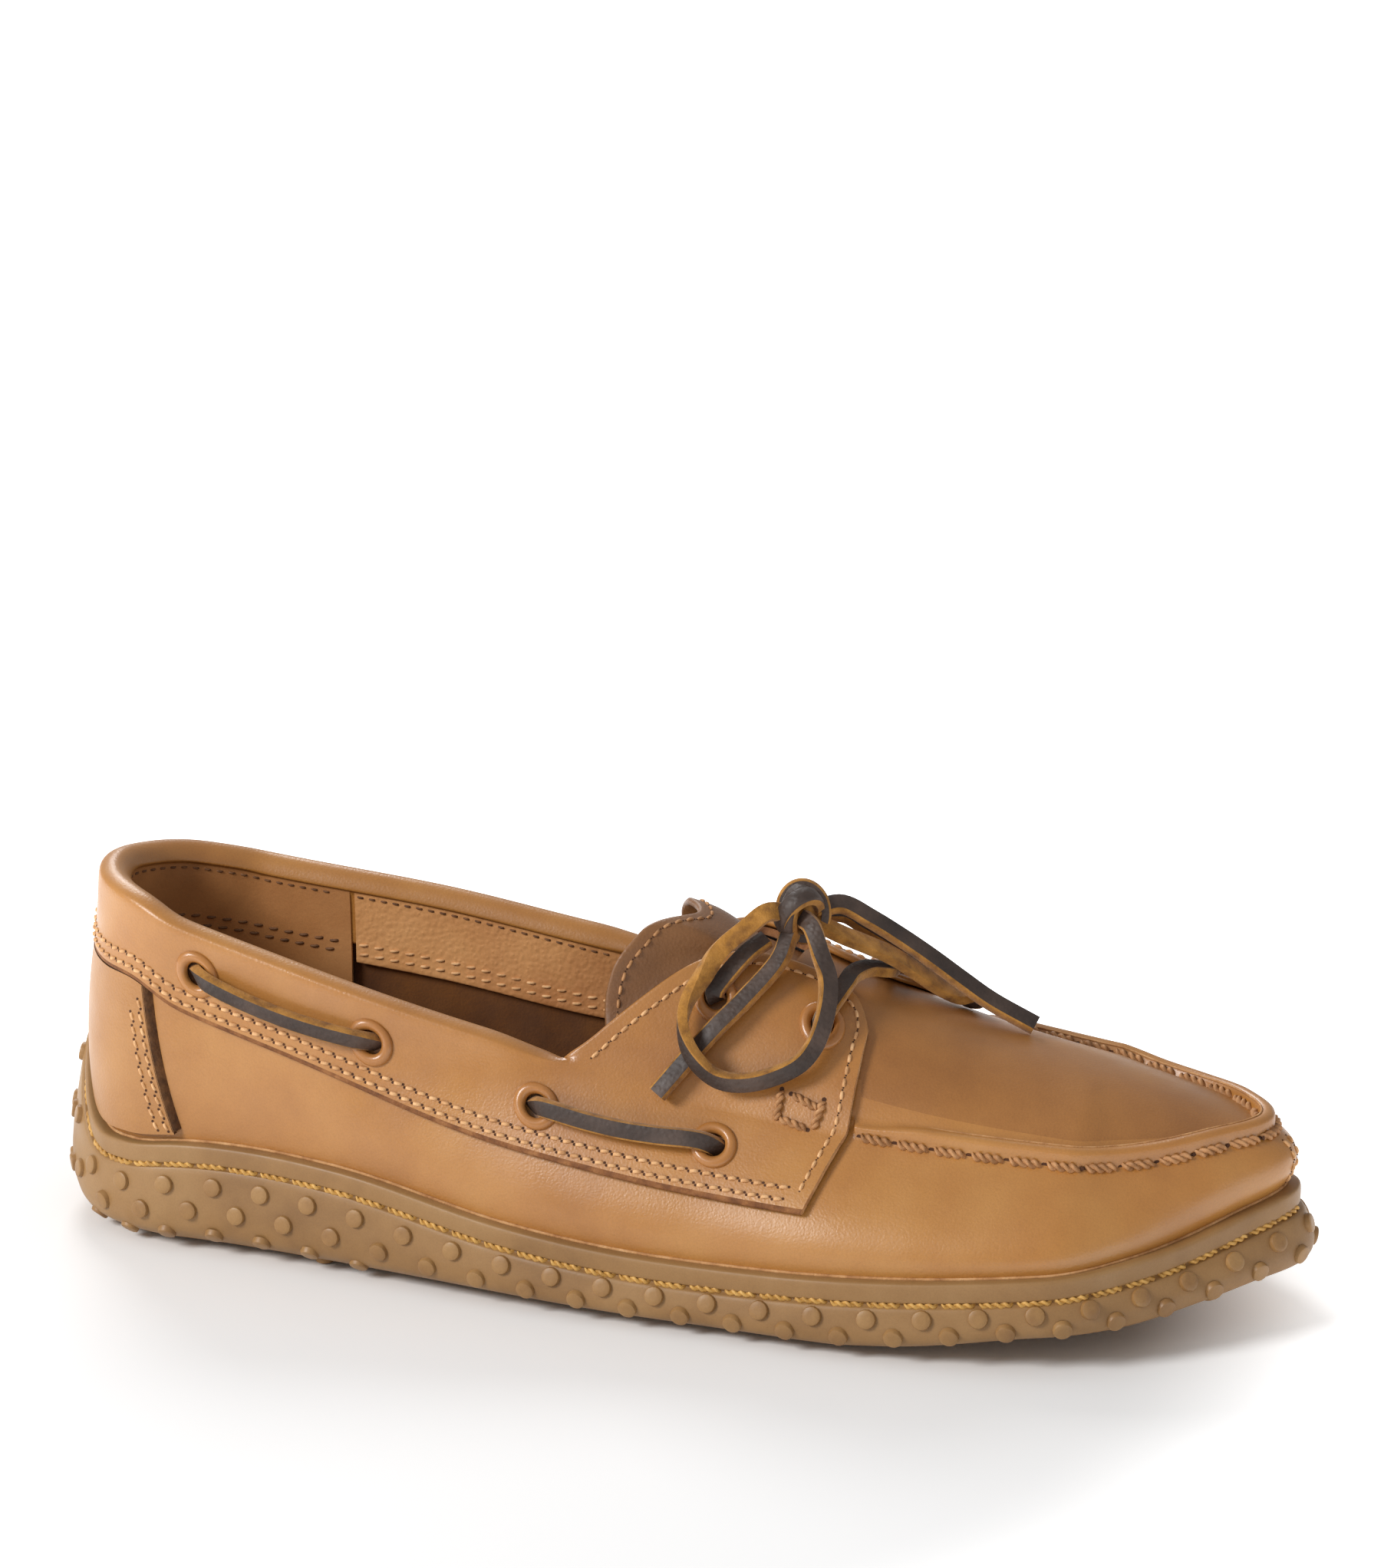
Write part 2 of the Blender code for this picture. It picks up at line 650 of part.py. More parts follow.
def upper_columns(at, side):
    """Outer and inner points of the shell from its feather edge upwards."""
    rows = [up * crest(at, side) for up in WALL_ROWS]
    outer = [skin(at, side, up) for up in rows]
    inner = [off_skin(at, side, up, -UPPER_WALL) for up in rows]
    edge = upper_edge(at, side)
    tall = ridge_height(at, side)
    r_top = shoulder(at, side)[0]
    foot = RIDGE_WIDTH / r_top
    for k, share in enumerate(INSTEP_ROWS):
        across = share * edge
        if tall > 0:
            across = (0.05 * foot, 0.85 * foot, foot)[k] if k < 3 else mix(foot, 1, (share - 0.2) / 0.8)
        if edge == 0:
            outer.append(outer[-1])
            inner.append(inner[-1])
            continue
        point = skin(at, side, 1 + across)
        if tall > 0 and k < 2:
            point = skin(at, side, 1 + 0.05 * foot) + Vector((0, 0, tall))
            if k == 1:
                point = skin(at, side, 1 + 0.85 * foot)
                point.z = skin(at, side, 1 + 0.05 * foot).z + tall
        outer.append(point)
        inner.append(off_skin(at, side, 1 + across, -UPPER_WALL))
    return outer, inner, edge


def upper():
    bm = bmesh.new()
    for side in (-1, 1):
        columns = [upper_columns(at, side) for at in upper_stations(side)]
        made = [([bm.verts.new(p) for p in o], [bm.verts.new(p) for p in i], e) for o, i, e in columns]
        for (outer_a, inner_a, edge_a), (outer_b, inner_b, edge_b) in zip(made, made[1:]):
            for a, b in ((outer_a, outer_b), (inner_b, inner_a)):
                for j in range(len(a) - 1):
                    bm.faces.new((a[j], a[j + 1], b[j + 1], b[j]))
            bm.faces.new((outer_a[0], outer_b[0], inner_b[0], inner_a[0]))
            if edge_a < 1 or edge_b < 1:
                bm.faces.new((outer_b[-1], outer_a[-1], inner_a[-1], inner_b[-1]))
    return finish("upper", bm, "leather")


# Collar band with its wings

BAND_STATIONS = join_lists(steps(0, 1, HEEL_STEPS), WAIST, WING["at"])


def turn_in(at, side):
    """Depth of the roll on the inside of the collar."""
    shift = wing_shift(side)
    return COLLAR_TURN_IN * (1 - ramp(COLLAR_ROLL_END + shift, WING_BACK + shift, at))


def band_face(at, side, up):
    """Distance of the band's outer face from the skin: it swells towards the padded top of the collar."""
    swell = ramp(0.7, 1, up) * (1 - ramp(COLLAR_ROLL_END, WING_BACK, at - wing_shift(side)))
    return mix(FACET_GAP + OVERLAY, COLLAR_PAD, swell)


def pad(at, side):
    """Height of the padded roll over the shell; it flattens towards the wing."""
    return COLLAR_PAD * mix(1, 0.4, ramp(COLLAR_ROLL_END, WING_BACK, at - wing_shift(side)))


def band_section(at, side):
    """Closed ring of the band: up the outside, over the collar's top and down inside, or up a wing."""
    at += wing_shift(side) * ramp(1.24, COLLAR_ROLL_END, at)
    low, edge = curve(BAND, "edge", at - wing_shift(side)), wing_edge(at, side)
    near, far = FACET_GAP, FACET_GAP + OVERLAY
    rows = [mix(low, 1, share) for share in (0, 0.28, 0.56, 0.83)]
    lean = WING_LEAN * ramp(WING_BACK, WING_FRONT, at - wing_shift(side))
    outside = [off_skin(at - lean * (1 - up), side, up, band_face(at, side, up)) for up in rows]
    backing = [off_skin(at - lean * (1 - up), side, up, near) for up in rows]
    if edge <= 1.0005:
        depth = turn_in(at, side) + 1 * MM
        fold = min(0.25 * depth, 2 * MM)
        top = skin(at, side, 1)
        out = normal(at, side, 1)
        out.z = 0
        out.normalize()
        swell, tall = band_face(at, side, 1), pad(at, side)
        outside += [top + out * r + Vector((0, 0, z)) for r, z in (
            (swell, 0),
            (0.5 * swell, 0.75 * tall),
            (-UPPER_WALL / 2, tall + GAP),
            (-UPPER_WALL - 0.6 * COLLAR_PAD, 0.55 * tall),
            (-UPPER_WALL - COLLAR_PAD, -fold),
        )]
        outside.append(inner_point(at, side, depth, far))
        backing += [top + out * r + Vector((0, 0, z)) for r, z in (
            (near, -fold / 4),
            (near, near),
            (-UPPER_WALL / 2, near),
            (-UPPER_WALL - near, near),
        )]
        backing += [inner_point(at, side, fold, near), inner_point(at, side, depth, near)]
    else:
        rows = [mix(1, edge, share) for share in (0, 0.2, 0.4, 0.6, 0.8, 1)]
        outside += [off_skin(at, side, up, far) for up in rows]
        backing += [off_skin(at, side, up, near) for up in rows]
    return sheet_ring(outside, backing)


def inner_point(at, side, depth, distance):
    """Point on the inside of the collar, a depth below its top and a distance off the shell's inner face."""
    rise = (skin(at, side, 1) - skin(at, side, 0.9)).length / 0.1
    up = 1 - depth / rise
    return off_skin(at, side, up, -UPPER_WALL - distance)


def collar_band():
    rings = [band_section(at, -1) for at in reversed(BAND_STATIONS)]
    rings += [band_section(at, 1) for at in BAND_STATIONS[1:]]
    return loft("collar_band", rings, "leather")


# Heel counter

def heel_counter():
    rings = []
    columns = steps(0, 1, 6)
    for side in (-1, 1):
        for share in (reversed(columns) if side < 0 else columns[1:]):
            ring_out, ring_in = [], []
            for rise in steps(0, 1, 6):
                at = share * mix(COUNTER_FOOT, COUNTER_TOP, rise)
                foot = RIM_SHARE + 0.03
                head = curve(BAND, "edge", at) - 0.035
                up = mix(foot, head, rise)
                ring_out.append(off_skin(at, side, up, GAP + OVERLAY))
                ring_in.append(off_skin(at, side, up, GAP))
            rings.append(sheet_ring(ring_out, ring_in))
    return loft("heel_counter", rings, "counter leather")


# Tongue

def tongue_ring(across, side):
    """Lengthwise section of the tongue, from its front end under the apron to its rear edge."""
    rear = curve(TONGUE_REAR, "at", across, key="across") + wing_shift(side) * (2 - across)
    behind = min(wing_rear(min(across, WING["edge"][7]), side), THROAT - 0.03)
    top, under = [], []
    for share in steps(0, 1, 9):
        at = mix(TONGUE_FRONT, rear, share**0.8)
        clear = UPPER_WALL + 2 * GAP
        flare = ramp(0.015, 0.09, behind - at)
        depth = mix(clear, -TONGUE_FLARE * ramp(2.0, 1.3, across), flare)
        top.append(off_skin(at, side, across, -depth))
        under.append(off_skin(at, side, across, -depth - TONGUE_WALL))
    return sheet_ring(top, under)


def tongue():
    columns = TONGUE_REAR["across"]
    rings = [tongue_ring(across, -1) for across in columns]
    rings += [tongue_ring(across, 1) for across in reversed(columns[:-1])]
    return loft("tongue", rings, "leather")


# Insole

def insole_section(at, side):
    r = leather_foot(at, side)[0] - FEATHER_TUCK - UPPER_WALL - INSOLE_GAP
    low = [floor_height(at, side, share) + GAP for share in (0, 0.5, 1)]
    reaches = (0, 0.5 * r, r)
    under = list(zip(reaches, low))
    over = [(q, z + INSOLE_THICKNESS) for q, z in under]
    return under + list(reversed(over))


def insole():
    return full_loft("insole", join_lists(steps(0, 1, 6), steps(1, 2, 7), steps(2, 3, 6)), insole_section, "lining")


# Eyelets

def eyelet(name, at, up, side):
    """Ring that follows the band's face."""
    step = 0.01
    per_at = (skin(at + step, side, up) - skin(at - step, side, up)).length / (2 * step)
    per_up = (skin(at, side, up + step) - skin(at, side, up - step)).length / (2 * step)
    profile = (
        (EYELET_WIDTH / 2, 0),
        (0.42 * EYELET_WIDTH, EYELET_HEIGHT),
        (EYELET_HOLE / 2, 0.7 * EYELET_HEIGHT),
        (EYELET_HOLE / 2, 0),
    )
    rings = []
    for k in range(EYELET_SIDES):
        angle = 2 * pi * k / EYELET_SIDES
        ring = []
        for r, rise in profile:
            spot = at + r * cos(angle) / per_at, up + r * sin(angle) / per_up
            seat = band_face(spot[0], side, spot[1]) + EYELET_GAP
            ring.append(off_skin(spot[0], side, spot[1], seat + rise))
        rings.append(ring)
    return loft(name, rings, "eyelet paint", closed=True)


def eyelets():
    for side in (-1, 1):
        for i, name in enumerate(EYELETS["name"]):
            eyelet(f"eyelet_{side_name(side)}_{name}", *eyelet_spot(i, side), side)


def eyelet_spot(i, side):
    """Station and height of an eyelet; the medial wing sits further forward."""
    at = EYELETS["at"][i]
    return at + wing_shift(side) * (at > WING_BACK), EYELETS[side_name(side)][i]


# Lace

def side_bars():
    """Flat runs of the lace along the collar, over the first and second eyelet and over the third and fourth."""
    for side in (-1, 1):
        for run, first in enumerate((0, 2)):
            start, end = eyelet_spot(first, side), eyelet_spot(first + 1, side)
            rings = []
            for share in steps(0, 1, BAR_STEPS):
                at, up = mix(start[0], end[0], share), mix(start[1], end[1], share)
                off = band_face(at, side, up) + EYELET_GAP + EYELET_HEIGHT + LACE_GAP
                half = LACE_WIDTH / 2 / (skin(at, side, 1) - skin(at, side, 0.9)).length * 0.1
                corners = ((-half, 0), (half, 0), (half, LACE_THICKNESS), (-half, LACE_THICKNESS))
                rings.append([off_skin(at, side, up + rise, off + out) for rise, out in corners])
            loft(f"lace_side_{side_name(side)}_{run + 1}", rings, "rawhide")


def crossing_points(rows):
    return [off_skin(at, side, up, off * MM) for side, at, up, off in rows]


def smooth_route(knots):
    """Evenly spaced points of a smooth curve through a route's own points."""
    knots = [2 * knots[0] - knots[1]] + knots + [2 * knots[-1] - knots[-2]]
    fine = []
    for a, b, c, d in zip(knots, knots[1:], knots[2:], knots[3:]):
        for u in steps(0, 1, 12)[:-1]:
            fine.append((2 * b + (c - a) * u + (2 * a - 5 * b + 4 * c - d) * u**2
                         + (3 * b - a - 3 * c + d) * u**3) / 2)
    fine.append(knots[-2])
    length = sum((b - a).length for a, b in zip(fine, fine[1:]))
    count = max(round(length / (LACE_STEP * LACE_DIAMETER)), 2)
    even, done, k = [fine[0]], 0.0, 0
    for i in range(1, count):
        while done + (fine[k + 1] - fine[k]).length < i * length / count:
            done += (fine[k + 1] - fine[k]).length
            k += 1
        part = fine[k + 1] - fine[k]
        even.append(fine[k] + part * ((i * length / count - done) / part.length))
    return even + [fine[-1]]


def lace_run(name, knots):
    """Round stand-in for a stretch of the flat lace."""
    points = smooth_route(knots)
    line = bpy.data.curves.new(name, "CURVE")
    line.dimensions = "3D"
    line.bevel_depth = LACE_DIAMETER / 2
    line.bevel_resolution = 2
    line.use_fill_caps = True
    spline = line.splines.new("POLY")
    spline.points.add(len(points) - 1)
    for spot, point in zip(spline.points, points):
        spot.co = (*point, 1)
    line.materials.append(material("rawhide"))
    SHOE.objects.link(bpy.data.objects.new(name, line))


def lace_knot():
    bm = bmesh.new()
    shape = Matrix.Translation(Vector(KNOT_MIDDLE) * MM) @ Matrix.Diagonal((*KNOT_RADII, 1))
    bmesh.ops.create_uvsphere(bm, u_segments=10, v_segments=6, radius=MM, matrix=shape)
    finish("lace_knot", bm, "rawhide")


def centre_over_origin():
    """Move all pieces so that the middle of the sole's plan, the widest of all, is at the origin."""
    bpy.context.view_layer.update()
    sole = SHOE.objects["outsole"].evaluated_get(bpy.context.evaluated_depsgraph_get())
    spots = [vertex.co for vertex in sole.to_mesh().vertices]
    middle = [(min(p[i] for p in spots) + max(p[i] for p in spots)) / 2 for i in (0, 1)]
    sole.to_mesh_clear()
    for piece in list(SHOE.objects) + list(CUTTERS.objects):
        piece.location = (-middle[0], -middle[1], 0)


def clear_scene():
    for old in list(bpy.data.objects):
        bpy.data.objects.remove(old, do_unlink=True)


clear_scene()
SHOE = bpy.data.collections.new("boat shoe")
CUTTERS = bpy.data.collections.new("cutters")
bpy.context.scene.collection.children.link(SHOE)
bpy.context.scene.collection.children.link(CUTTERS)

outsole()
upper()
collar_band()
heel_counter()
tongue()
insole()
eyelets()
side_bars()
for run_name, run_rows in LACE_CROSSINGS.items():
    lace_run(run_name, crossing_points(run_rows))
for run_name, run_points in LACE_ROUTES.items():
    lace_run(run_name, [Vector(p) * MM for p in run_points])
lace_knot()
centre_over_origin()
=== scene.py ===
"""Looks of a right boat shoe: tan leather, nubbed gum sole, standing moc seam, stitches and a rawhide bow.

The shoe's own frame is in millimetres: +X to the toe, +Y to the inner side, +Z up. A place on the leather
is given as a station s and a height up. Stations: 0 the middle of the heel, 1 its side, 2 the side of the
toe, 3 its tip, and below zero on the outer side. Heights: 0 the feather edge, 1 the shoulder line, 2 the
middle of the instep.
"""
from math import cos, pi, radians, sin

import bmesh
import bpy
import numpy as np
from mathutils import Matrix, Vector
from mathutils.bvhtree import BVHTree


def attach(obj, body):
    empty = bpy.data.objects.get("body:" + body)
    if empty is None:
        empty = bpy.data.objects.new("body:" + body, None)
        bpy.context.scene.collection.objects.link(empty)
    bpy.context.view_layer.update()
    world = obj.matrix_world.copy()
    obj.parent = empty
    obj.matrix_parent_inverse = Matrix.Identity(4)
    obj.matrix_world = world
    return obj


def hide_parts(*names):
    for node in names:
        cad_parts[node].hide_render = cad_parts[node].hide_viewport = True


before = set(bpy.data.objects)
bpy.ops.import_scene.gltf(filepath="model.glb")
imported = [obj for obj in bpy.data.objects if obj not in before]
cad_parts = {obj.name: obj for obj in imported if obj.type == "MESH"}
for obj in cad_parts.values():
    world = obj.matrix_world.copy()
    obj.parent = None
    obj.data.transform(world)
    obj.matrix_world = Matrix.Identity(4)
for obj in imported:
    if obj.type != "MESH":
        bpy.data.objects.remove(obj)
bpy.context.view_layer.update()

MM = 0.001
UP = np.array((0, 0, 1.0))
SIDE_WORDS = {-1: "lateral", 1: "medial"}
# The middle of the sole's plan, in the shoe's own frame, lies at the part's origin.
ORIGIN = np.array((-0.3467, -0.7955, 0.0))

# Driving sizes, as in the part's source
LENGTH = 265
BALL_WIDTH = 91
HEEL_WIDTH = 66
COLLAR_HEIGHT = 76
INSTEP_HEIGHT = 76
RIM_HEIGHT = 20
RIM_INSET = 5
TOE_SPRING = 10
ARCH_HEIGHT = 3
TOE_SWING = 4
GAP = 0.3
FACET_GAP = 0.4
UPPER_WALL = 1.6
OVERLAY = 1.4
LIP = 3.0
RIM_BAND = 4.4
SOLE_THICKNESS = 4.2
SOLE_EDGE = 7
INSOLE_THICKNESS = 3.0
INSOLE_GAP = 2.5
FEATHER_TUCK = 4.5
RIDGE_HEIGHT = 3.6
RIDGE_WIDTH = 3.4
COLLAR_PAD = 2.5
COLLAR_TURN_IN = 12
TONGUE_WALL = 1.6
TONGUE_FLARE = 3.5
NUB_HEIGHT = 0.9
NUB_WIDTH = 4.0
NUB_PITCH = 11.0
NUB_ROW = 5.3
EYELET_WIDTH = 9.6
EYELET_HOLE = 5.0
EYELET_HEIGHT = 1.0
LACE_WIDTH = 3.7
LACE_THICKNESS = 2.2
RIM_SHARE = 0.2
APRON_POWER = 2.2
BELLY = 0.4
TOE_BELLY = 2.0
HEEL_BELLY = 1.6
TOP_LEAN = 1.0
TOE_LEAN = 5.5

# The shoe's tables, as in the part's source
OUTLINE = {
    "at":      (0.00, 0.25, 0.50, 0.75, 1.00, 1.20, 1.40, 1.60, 1.80, 1.90, 2.00, 2.25, 2.50, 2.75, 3.00),
    "lateral": (.515, .508, .500, .495, .495, .505, .500, .505, .535, .525, .490, .425, .400, .430, .490),
    "medial":  (.515, .505, .495, .485, .475, .440, .375, .380, .455, .470, .455, .425, .415, .450, .490),
}
RIM = {
    "at":    (0.00, 0.25, 0.50, 0.75, 1.00, 1.20, 1.40, 1.60, 1.80, 2.00, 2.25, 2.50, 2.75, 3.00),
    "top":   (2.18, 1.66, 1.15, 1.10, 1.17, 1.15, 0.85, 0.73, 0.80, 0.95, 1.03, 1.12, 1.28, 1.40),
    "inset": (1.00, 0.70, 0.44, 0.30, 0.30, 0.30, 0.30, 0.30, 0.30, 0.32, 0.40, 0.52, 0.60, 0.64),
}
SPRING = {
    "at":   (1.78, 1.85, 2.00, 2.25, 2.50, 2.75, 3.00),
    "lift": (0.00, 0.11, 0.50, 0.55, 0.72, 0.92, 1.00),
}
ARCH_START = 1.06
ARCH_TOP = 1.40
ARCH_END = 1.66
SHOULDER = {
    "at":             (0.00, 0.25, 0.50, 0.75, 1.00, 1.20, 1.40, 1.60, 1.80, 2.00, 2.25, 2.50, 2.75, 3.00),
    "lateral inset":  (.150, .150, .150, .150, .145, .150, .185, .220, .225, .205, .165, .125, .105, .095),
    "medial inset":   (.150, .150, .150, .145, .110, .060, .040, .070, .160, .180, .150, .115, .100, .095),
    "lateral height": (.968, .962, .954, .934, .886, .765, .655, .565, .510, .480, .475, .485, .505, .515),
    "medial height":  (.968, .958, .944, .922, .896, .832, .752, .695, .610, .550, .525, .515, .515, .515),
}
SPINE = {
    "at":     (1.00, 1.30, 1.50, 1.60, 1.70, 1.80, 1.90, 2.00),
    "height": (1.10, 1.08, 1.00, .935, .850, .765, .690, .635),
}
BAND = {
    "at":   (0.00, 0.25, 0.50, 0.75, 1.00, 1.15, 1.30, 1.50, 1.77),
    "edge": (.640, .680, .730, .740, .690, .620, .555, .545, .540),
}
WING = {
    "at":   (1.440, 1.467, 1.492, 1.533, 1.567, 1.592, 1.630, 1.667, 1.700, 1.733, 1.755, 1.765),
    "edge": (1.000, 1.060, 1.150, 1.316, 1.478, 1.586, 1.700, 1.760, 1.770, 1.720, 1.620, 1.480),
}
WING_BACK = WING["at"][0]
WING_FRONT = WING["at"][-1]
MEDIAL_WING_SHIFT = 0.03
WING_LEAN = 0.065
THROAT = 1.67
COLLAR_ROLL_END = 1.36
RIDGE_START = 1.772
RIDGE_FULL = 1.85
TONGUE_REAR = {
    "across": (1.12, 1.20, 1.35, 1.55, 1.75, 2.00),
    "at":     (1.490, 1.485, 1.488, 1.508, 1.524, 1.530),
}
TONGUE_FRONT = 1.80
COUNTER_TOP = 0.80
COUNTER_FOOT = 1.00
EYELETS = {
    "name": ("collar_1", "collar_2", "collar_3", "collar_4", "wing_1", "wing_2"),
    "at":      (1.025, 1.233, 1.425, 1.625, 1.600, 1.717),
    "lateral": (0.855, 0.812, 0.758, 0.780, 1.370, 1.424),
    "medial":  (0.855, 0.812, 0.758, 0.780, 1.480, 1.480),
}
LACE_CROSSINGS = {
    "lace_riser_near": ((-1, 1.618, 1.470, 3.6), (-1, 1.620, 1.590, 4.5), (-1, 1.636, 1.720, 5.9)),
    "lace_riser_far": ((1, 1.639, 1.640, 3.5), (1, 1.643, 1.770, 4.1), (1, 1.647, 1.900, 5.7)),
    "lace_bar_front": (
        (-1, 1.727, 1.540, 5.2), (-1, 1.728, 1.650, 5.0), (-1, 1.731, 1.780, 4.4), (-1, 1.741, 1.930, 3.9),
        (1, 1.758, 1.920, 3.6), (1, 1.768, 1.820, 3.6),
    ),
}
KNOT_MIDDLE = (27, -2.5, 77)
LACE_ROUTES = {
    "lace_loop_near": (
        (31.4, -7.4, 75.8), (33.9, -10.2, 71.6), (36.5, -13.3, 66.8), (37.1, -17.6, 60.9),
        (35.7, -21.0, 55.4), (32.3, -24.0, 51.8), (24.4, -25.2, 48.5), (17.9, -26.6, 48.8),
        (13.0, -27.3, 52.9), (9.8, -24.6, 57.7), (9.6, -21.4, 62.3), (12.0, -17.8, 67.2),
        (14.2, -14.4, 71.4), (18.6, -11.4, 75.4), (22.2, -8.6, 78.4),
    ),
    "lace_loop_far": (
        (35.4, -1.0, 72.9), (40.1, 1.0, 70.6), (45.0, 4.0, 67.6), (49.3, 7.0, 63.8), (53.7, 10.0, 59.8),
        (58.0, 13.4, 56.7), (60.2, 16.2, 56.0), (58.8, 18.6, 56.3), (54.0, 16.0, 60.2), (49.0, 12.0, 64.6),
        (43.5, 9.4, 68.9), (38.0, 7.4, 72.6), (34.2, 5.4, 75.2),
    ),
    "lace_end_near": (
        (25.2, -10.4, 68.9), (20.0, -16.7, 62.4), (16.0, -20.8, 58.1), (12.2, -23.2, 53.5),
        (5.5, -28.1, 44.8),
    ),
    "lace_end_far": (
        (35.0, 2.0, 78.2), (40.5, 4.0, 75.0), (46.1, 6.6, 70.8), (51.9, 8.6, 66.4), (57.8, 10.2, 61.8),
        (64.0, 11.4, 57.4), (72.9, 12.0, 53.0),
    ),
}


# The shoe's surface

def distance(at):
    """Rough distance round the outline to a station, so that curves run evenly into the rounds."""
    heel, middle, toe = HEEL_WIDTH * pi / 4, 0.7 * LENGTH, BALL_WIDTH * pi / 4
    return np.minimum(at, 1) * heel + np.clip(at - 1, 0, 1) * middle + np.maximum(at - 2, 0) * toe


def curve(table, column, at, key="at"):
    """Smooth curve through a table's column, level at the heel's middle and at the toe's tip."""
    xs, ys = np.array(table[key]), np.array(table[column])
    level_start, level_end = xs[0] == 0, xs[-1] == 3
    at = np.clip(at, xs[0], xs[-1])
    if key == "at":
        xs, at = distance(xs), distance(at)
    h = np.diff(xs)
    d = np.diff(ys) / h
    slopes = np.empty_like(ys)
    slopes[1:-1] = (d[:-1] * h[1:] + d[1:] * h[:-1]) / (h[:-1] + h[1:])
    slopes[0] = 0 if level_start else d[0]
    slopes[-1] = 0 if level_end else d[-1]
    i = np.clip(np.searchsorted(xs, at) - 1, 0, len(xs) - 2)
    u = (at - xs[i]) / h[i]
    return (
        (2 * u**3 - 3 * u**2 + 1) * ys[i] + (u**3 - 2 * u**2 + u) * h[i] * slopes[i]
        + (3 * u**2 - 2 * u**3) * ys[i + 1] + (u**3 - u**2) * h[i] * slopes[i + 1]
    )


def ramp(start, end, value):
    u = np.clip((np.asarray(value, float) - start) / (end - start), 0, 1)
    return u * u * (3 - 2 * u)


def mix(a, b, share):
    return a + (b - a) * share


def split(s):
    """Station and side of a signed station, which carries on round the other side past the toe's tip."""
    s = np.asarray(s, float)
    at, side = np.abs(s), np.where(s < 0, -1.0, 1.0)
    past = at > 3
    return np.where(past, 6 - at, at), np.where(past, -side, side)


def by_side(table, name, at, side):
    return np.where(side < 0, curve(table, "lateral" + name, at), curve(table, "medial" + name, at))


def width(at):
    return mix(HEEL_WIDTH, BALL_WIDTH, ramp(1.0, 1.6, at))


def reach(at, side):
    return by_side(OUTLINE, "", at, side) * width(at)


HEEL_X = float(reach(0, -1) - LENGTH / 2)
TOE_X = float(LENGTH / 2 - reach(3, -1))


def place(at, side, r, z):
    """Point at distance r from the centre line, on the ray of a station."""
    at, side, r, z = np.broadcast_arrays(at, side, r, z)
    heel = np.radians(180 - 90 * at)
    toe = np.radians(90 - 90 * (at - 2))
    u = np.clip(at - 1, 0, 1)
    x = np.where(at <= 2, mix(HEEL_X, TOE_X, u), TOE_X + r * np.cos(toe))
    x = np.where(at <= 1, HEEL_X + r * np.cos(heel), x)
    swing = TOE_SWING * ramp(0, 1, u)
    out = np.where(at <= 1, np.sin(heel), np.where(at <= 2, 1, np.sin(toe)))
    return np.stack([x, swing + side * r * out, z], -1)


def rim_top(at):
    return curve(RIM, "top", at) * RIM_HEIGHT


def rim_reach(at, side):
    return reach(at, side) - curve(RIM, "inset", at) * RIM_INSET


def lift(at, side, share=1.0):
    spring = np.maximum(curve(SPRING, "lift", at), 0)
    spring = np.where(at > 2, mix(curve(SPRING, "lift", 2), spring, share), spring)
    inner = np.where(side > 0, 1.0, 0.1)
    rise = ramp(ARCH_START, ARCH_TOP, at) * (1 - ramp(ARCH_TOP, ARCH_END, at))
    return spring * TOE_SPRING + rise * mix(0.4, inner, share * share) * ARCH_HEIGHT


def shoulder(at, side):
    r = reach(at, side) - by_side(SHOULDER, " inset", at, side) * width(at)
    return r, by_side(SHOULDER, " height", at, side) * COLLAR_HEIGHT


def spine(at):
    return curve(SPINE, "height", np.clip(at, 1, 2)) * INSTEP_HEIGHT


def spine_slope(at):
    step = 0.01
    at = np.minimum(at, 2)
    return (spine(at) - spine(at - step)) / (step * (TOE_X - HEEL_X))


def leather_foot(at, side):
    return rim_reach(at, side) - LIP, rim_top(at)


def floor_height(at, side, share=1.0):
    return lift(at, side, share) + NUB_HEIGHT + SOLE_THICKNESS


def wall(at, side, up):
    """Outer leather from the feather edge (0) past the rim (RIM_SHARE) to the shoulder line (1)."""
    r_rim, z_rim = leather_foot(at, side)
    r_top, z_top = shoulder(at, side)
    low = np.clip(up / RIM_SHARE, 0, 1)
    r_low = r_rim - FEATHER_TUCK * (1 - low) ** 2
    z_low = mix(floor_height(at, side) + GAP, z_rim, low)
    u = np.clip((up - RIM_SHARE) / (1 - RIM_SHARE), 0, 1)
    rise = z_top - z_rim
    belly = BELLY + TOE_BELLY * ramp(1.2, 1.8, at) + HEEL_BELLY * (1 - ramp(0.5, 1.2, at))
    lean = TOP_LEAN + TOE_LEAN * ramp(1.3, 1.7, at)
    a, b, c, d = (1 - u) ** 3, 3 * u * (1 - u) ** 2, 3 * u * u * (1 - u), u**3
    r = a * r_rim + b * (r_rim + belly) + c * (r_top + lean) + d * r_top
    z = a * z_rim + b * (z_rim + 0.36 * rise) + c * (z_top - 0.30 * rise) + d * z_top
    return np.where(up < RIM_SHARE, r_low, r), np.where(up < RIM_SHARE, z_low, z)


def instep(at, side, across):
    r_top, z_top = shoulder(at, side)
    inwards = np.maximum(1 - across, 0)
    slope = np.where(at > 2, spine_slope(2) * np.cos(np.radians(90 - 90 * (at - 2))), 0)
    drop = spine(at) + slope * r_top - z_top
    return r_top * inwards, spine(at) + slope * r_top * inwards - drop * inwards**APRON_POWER


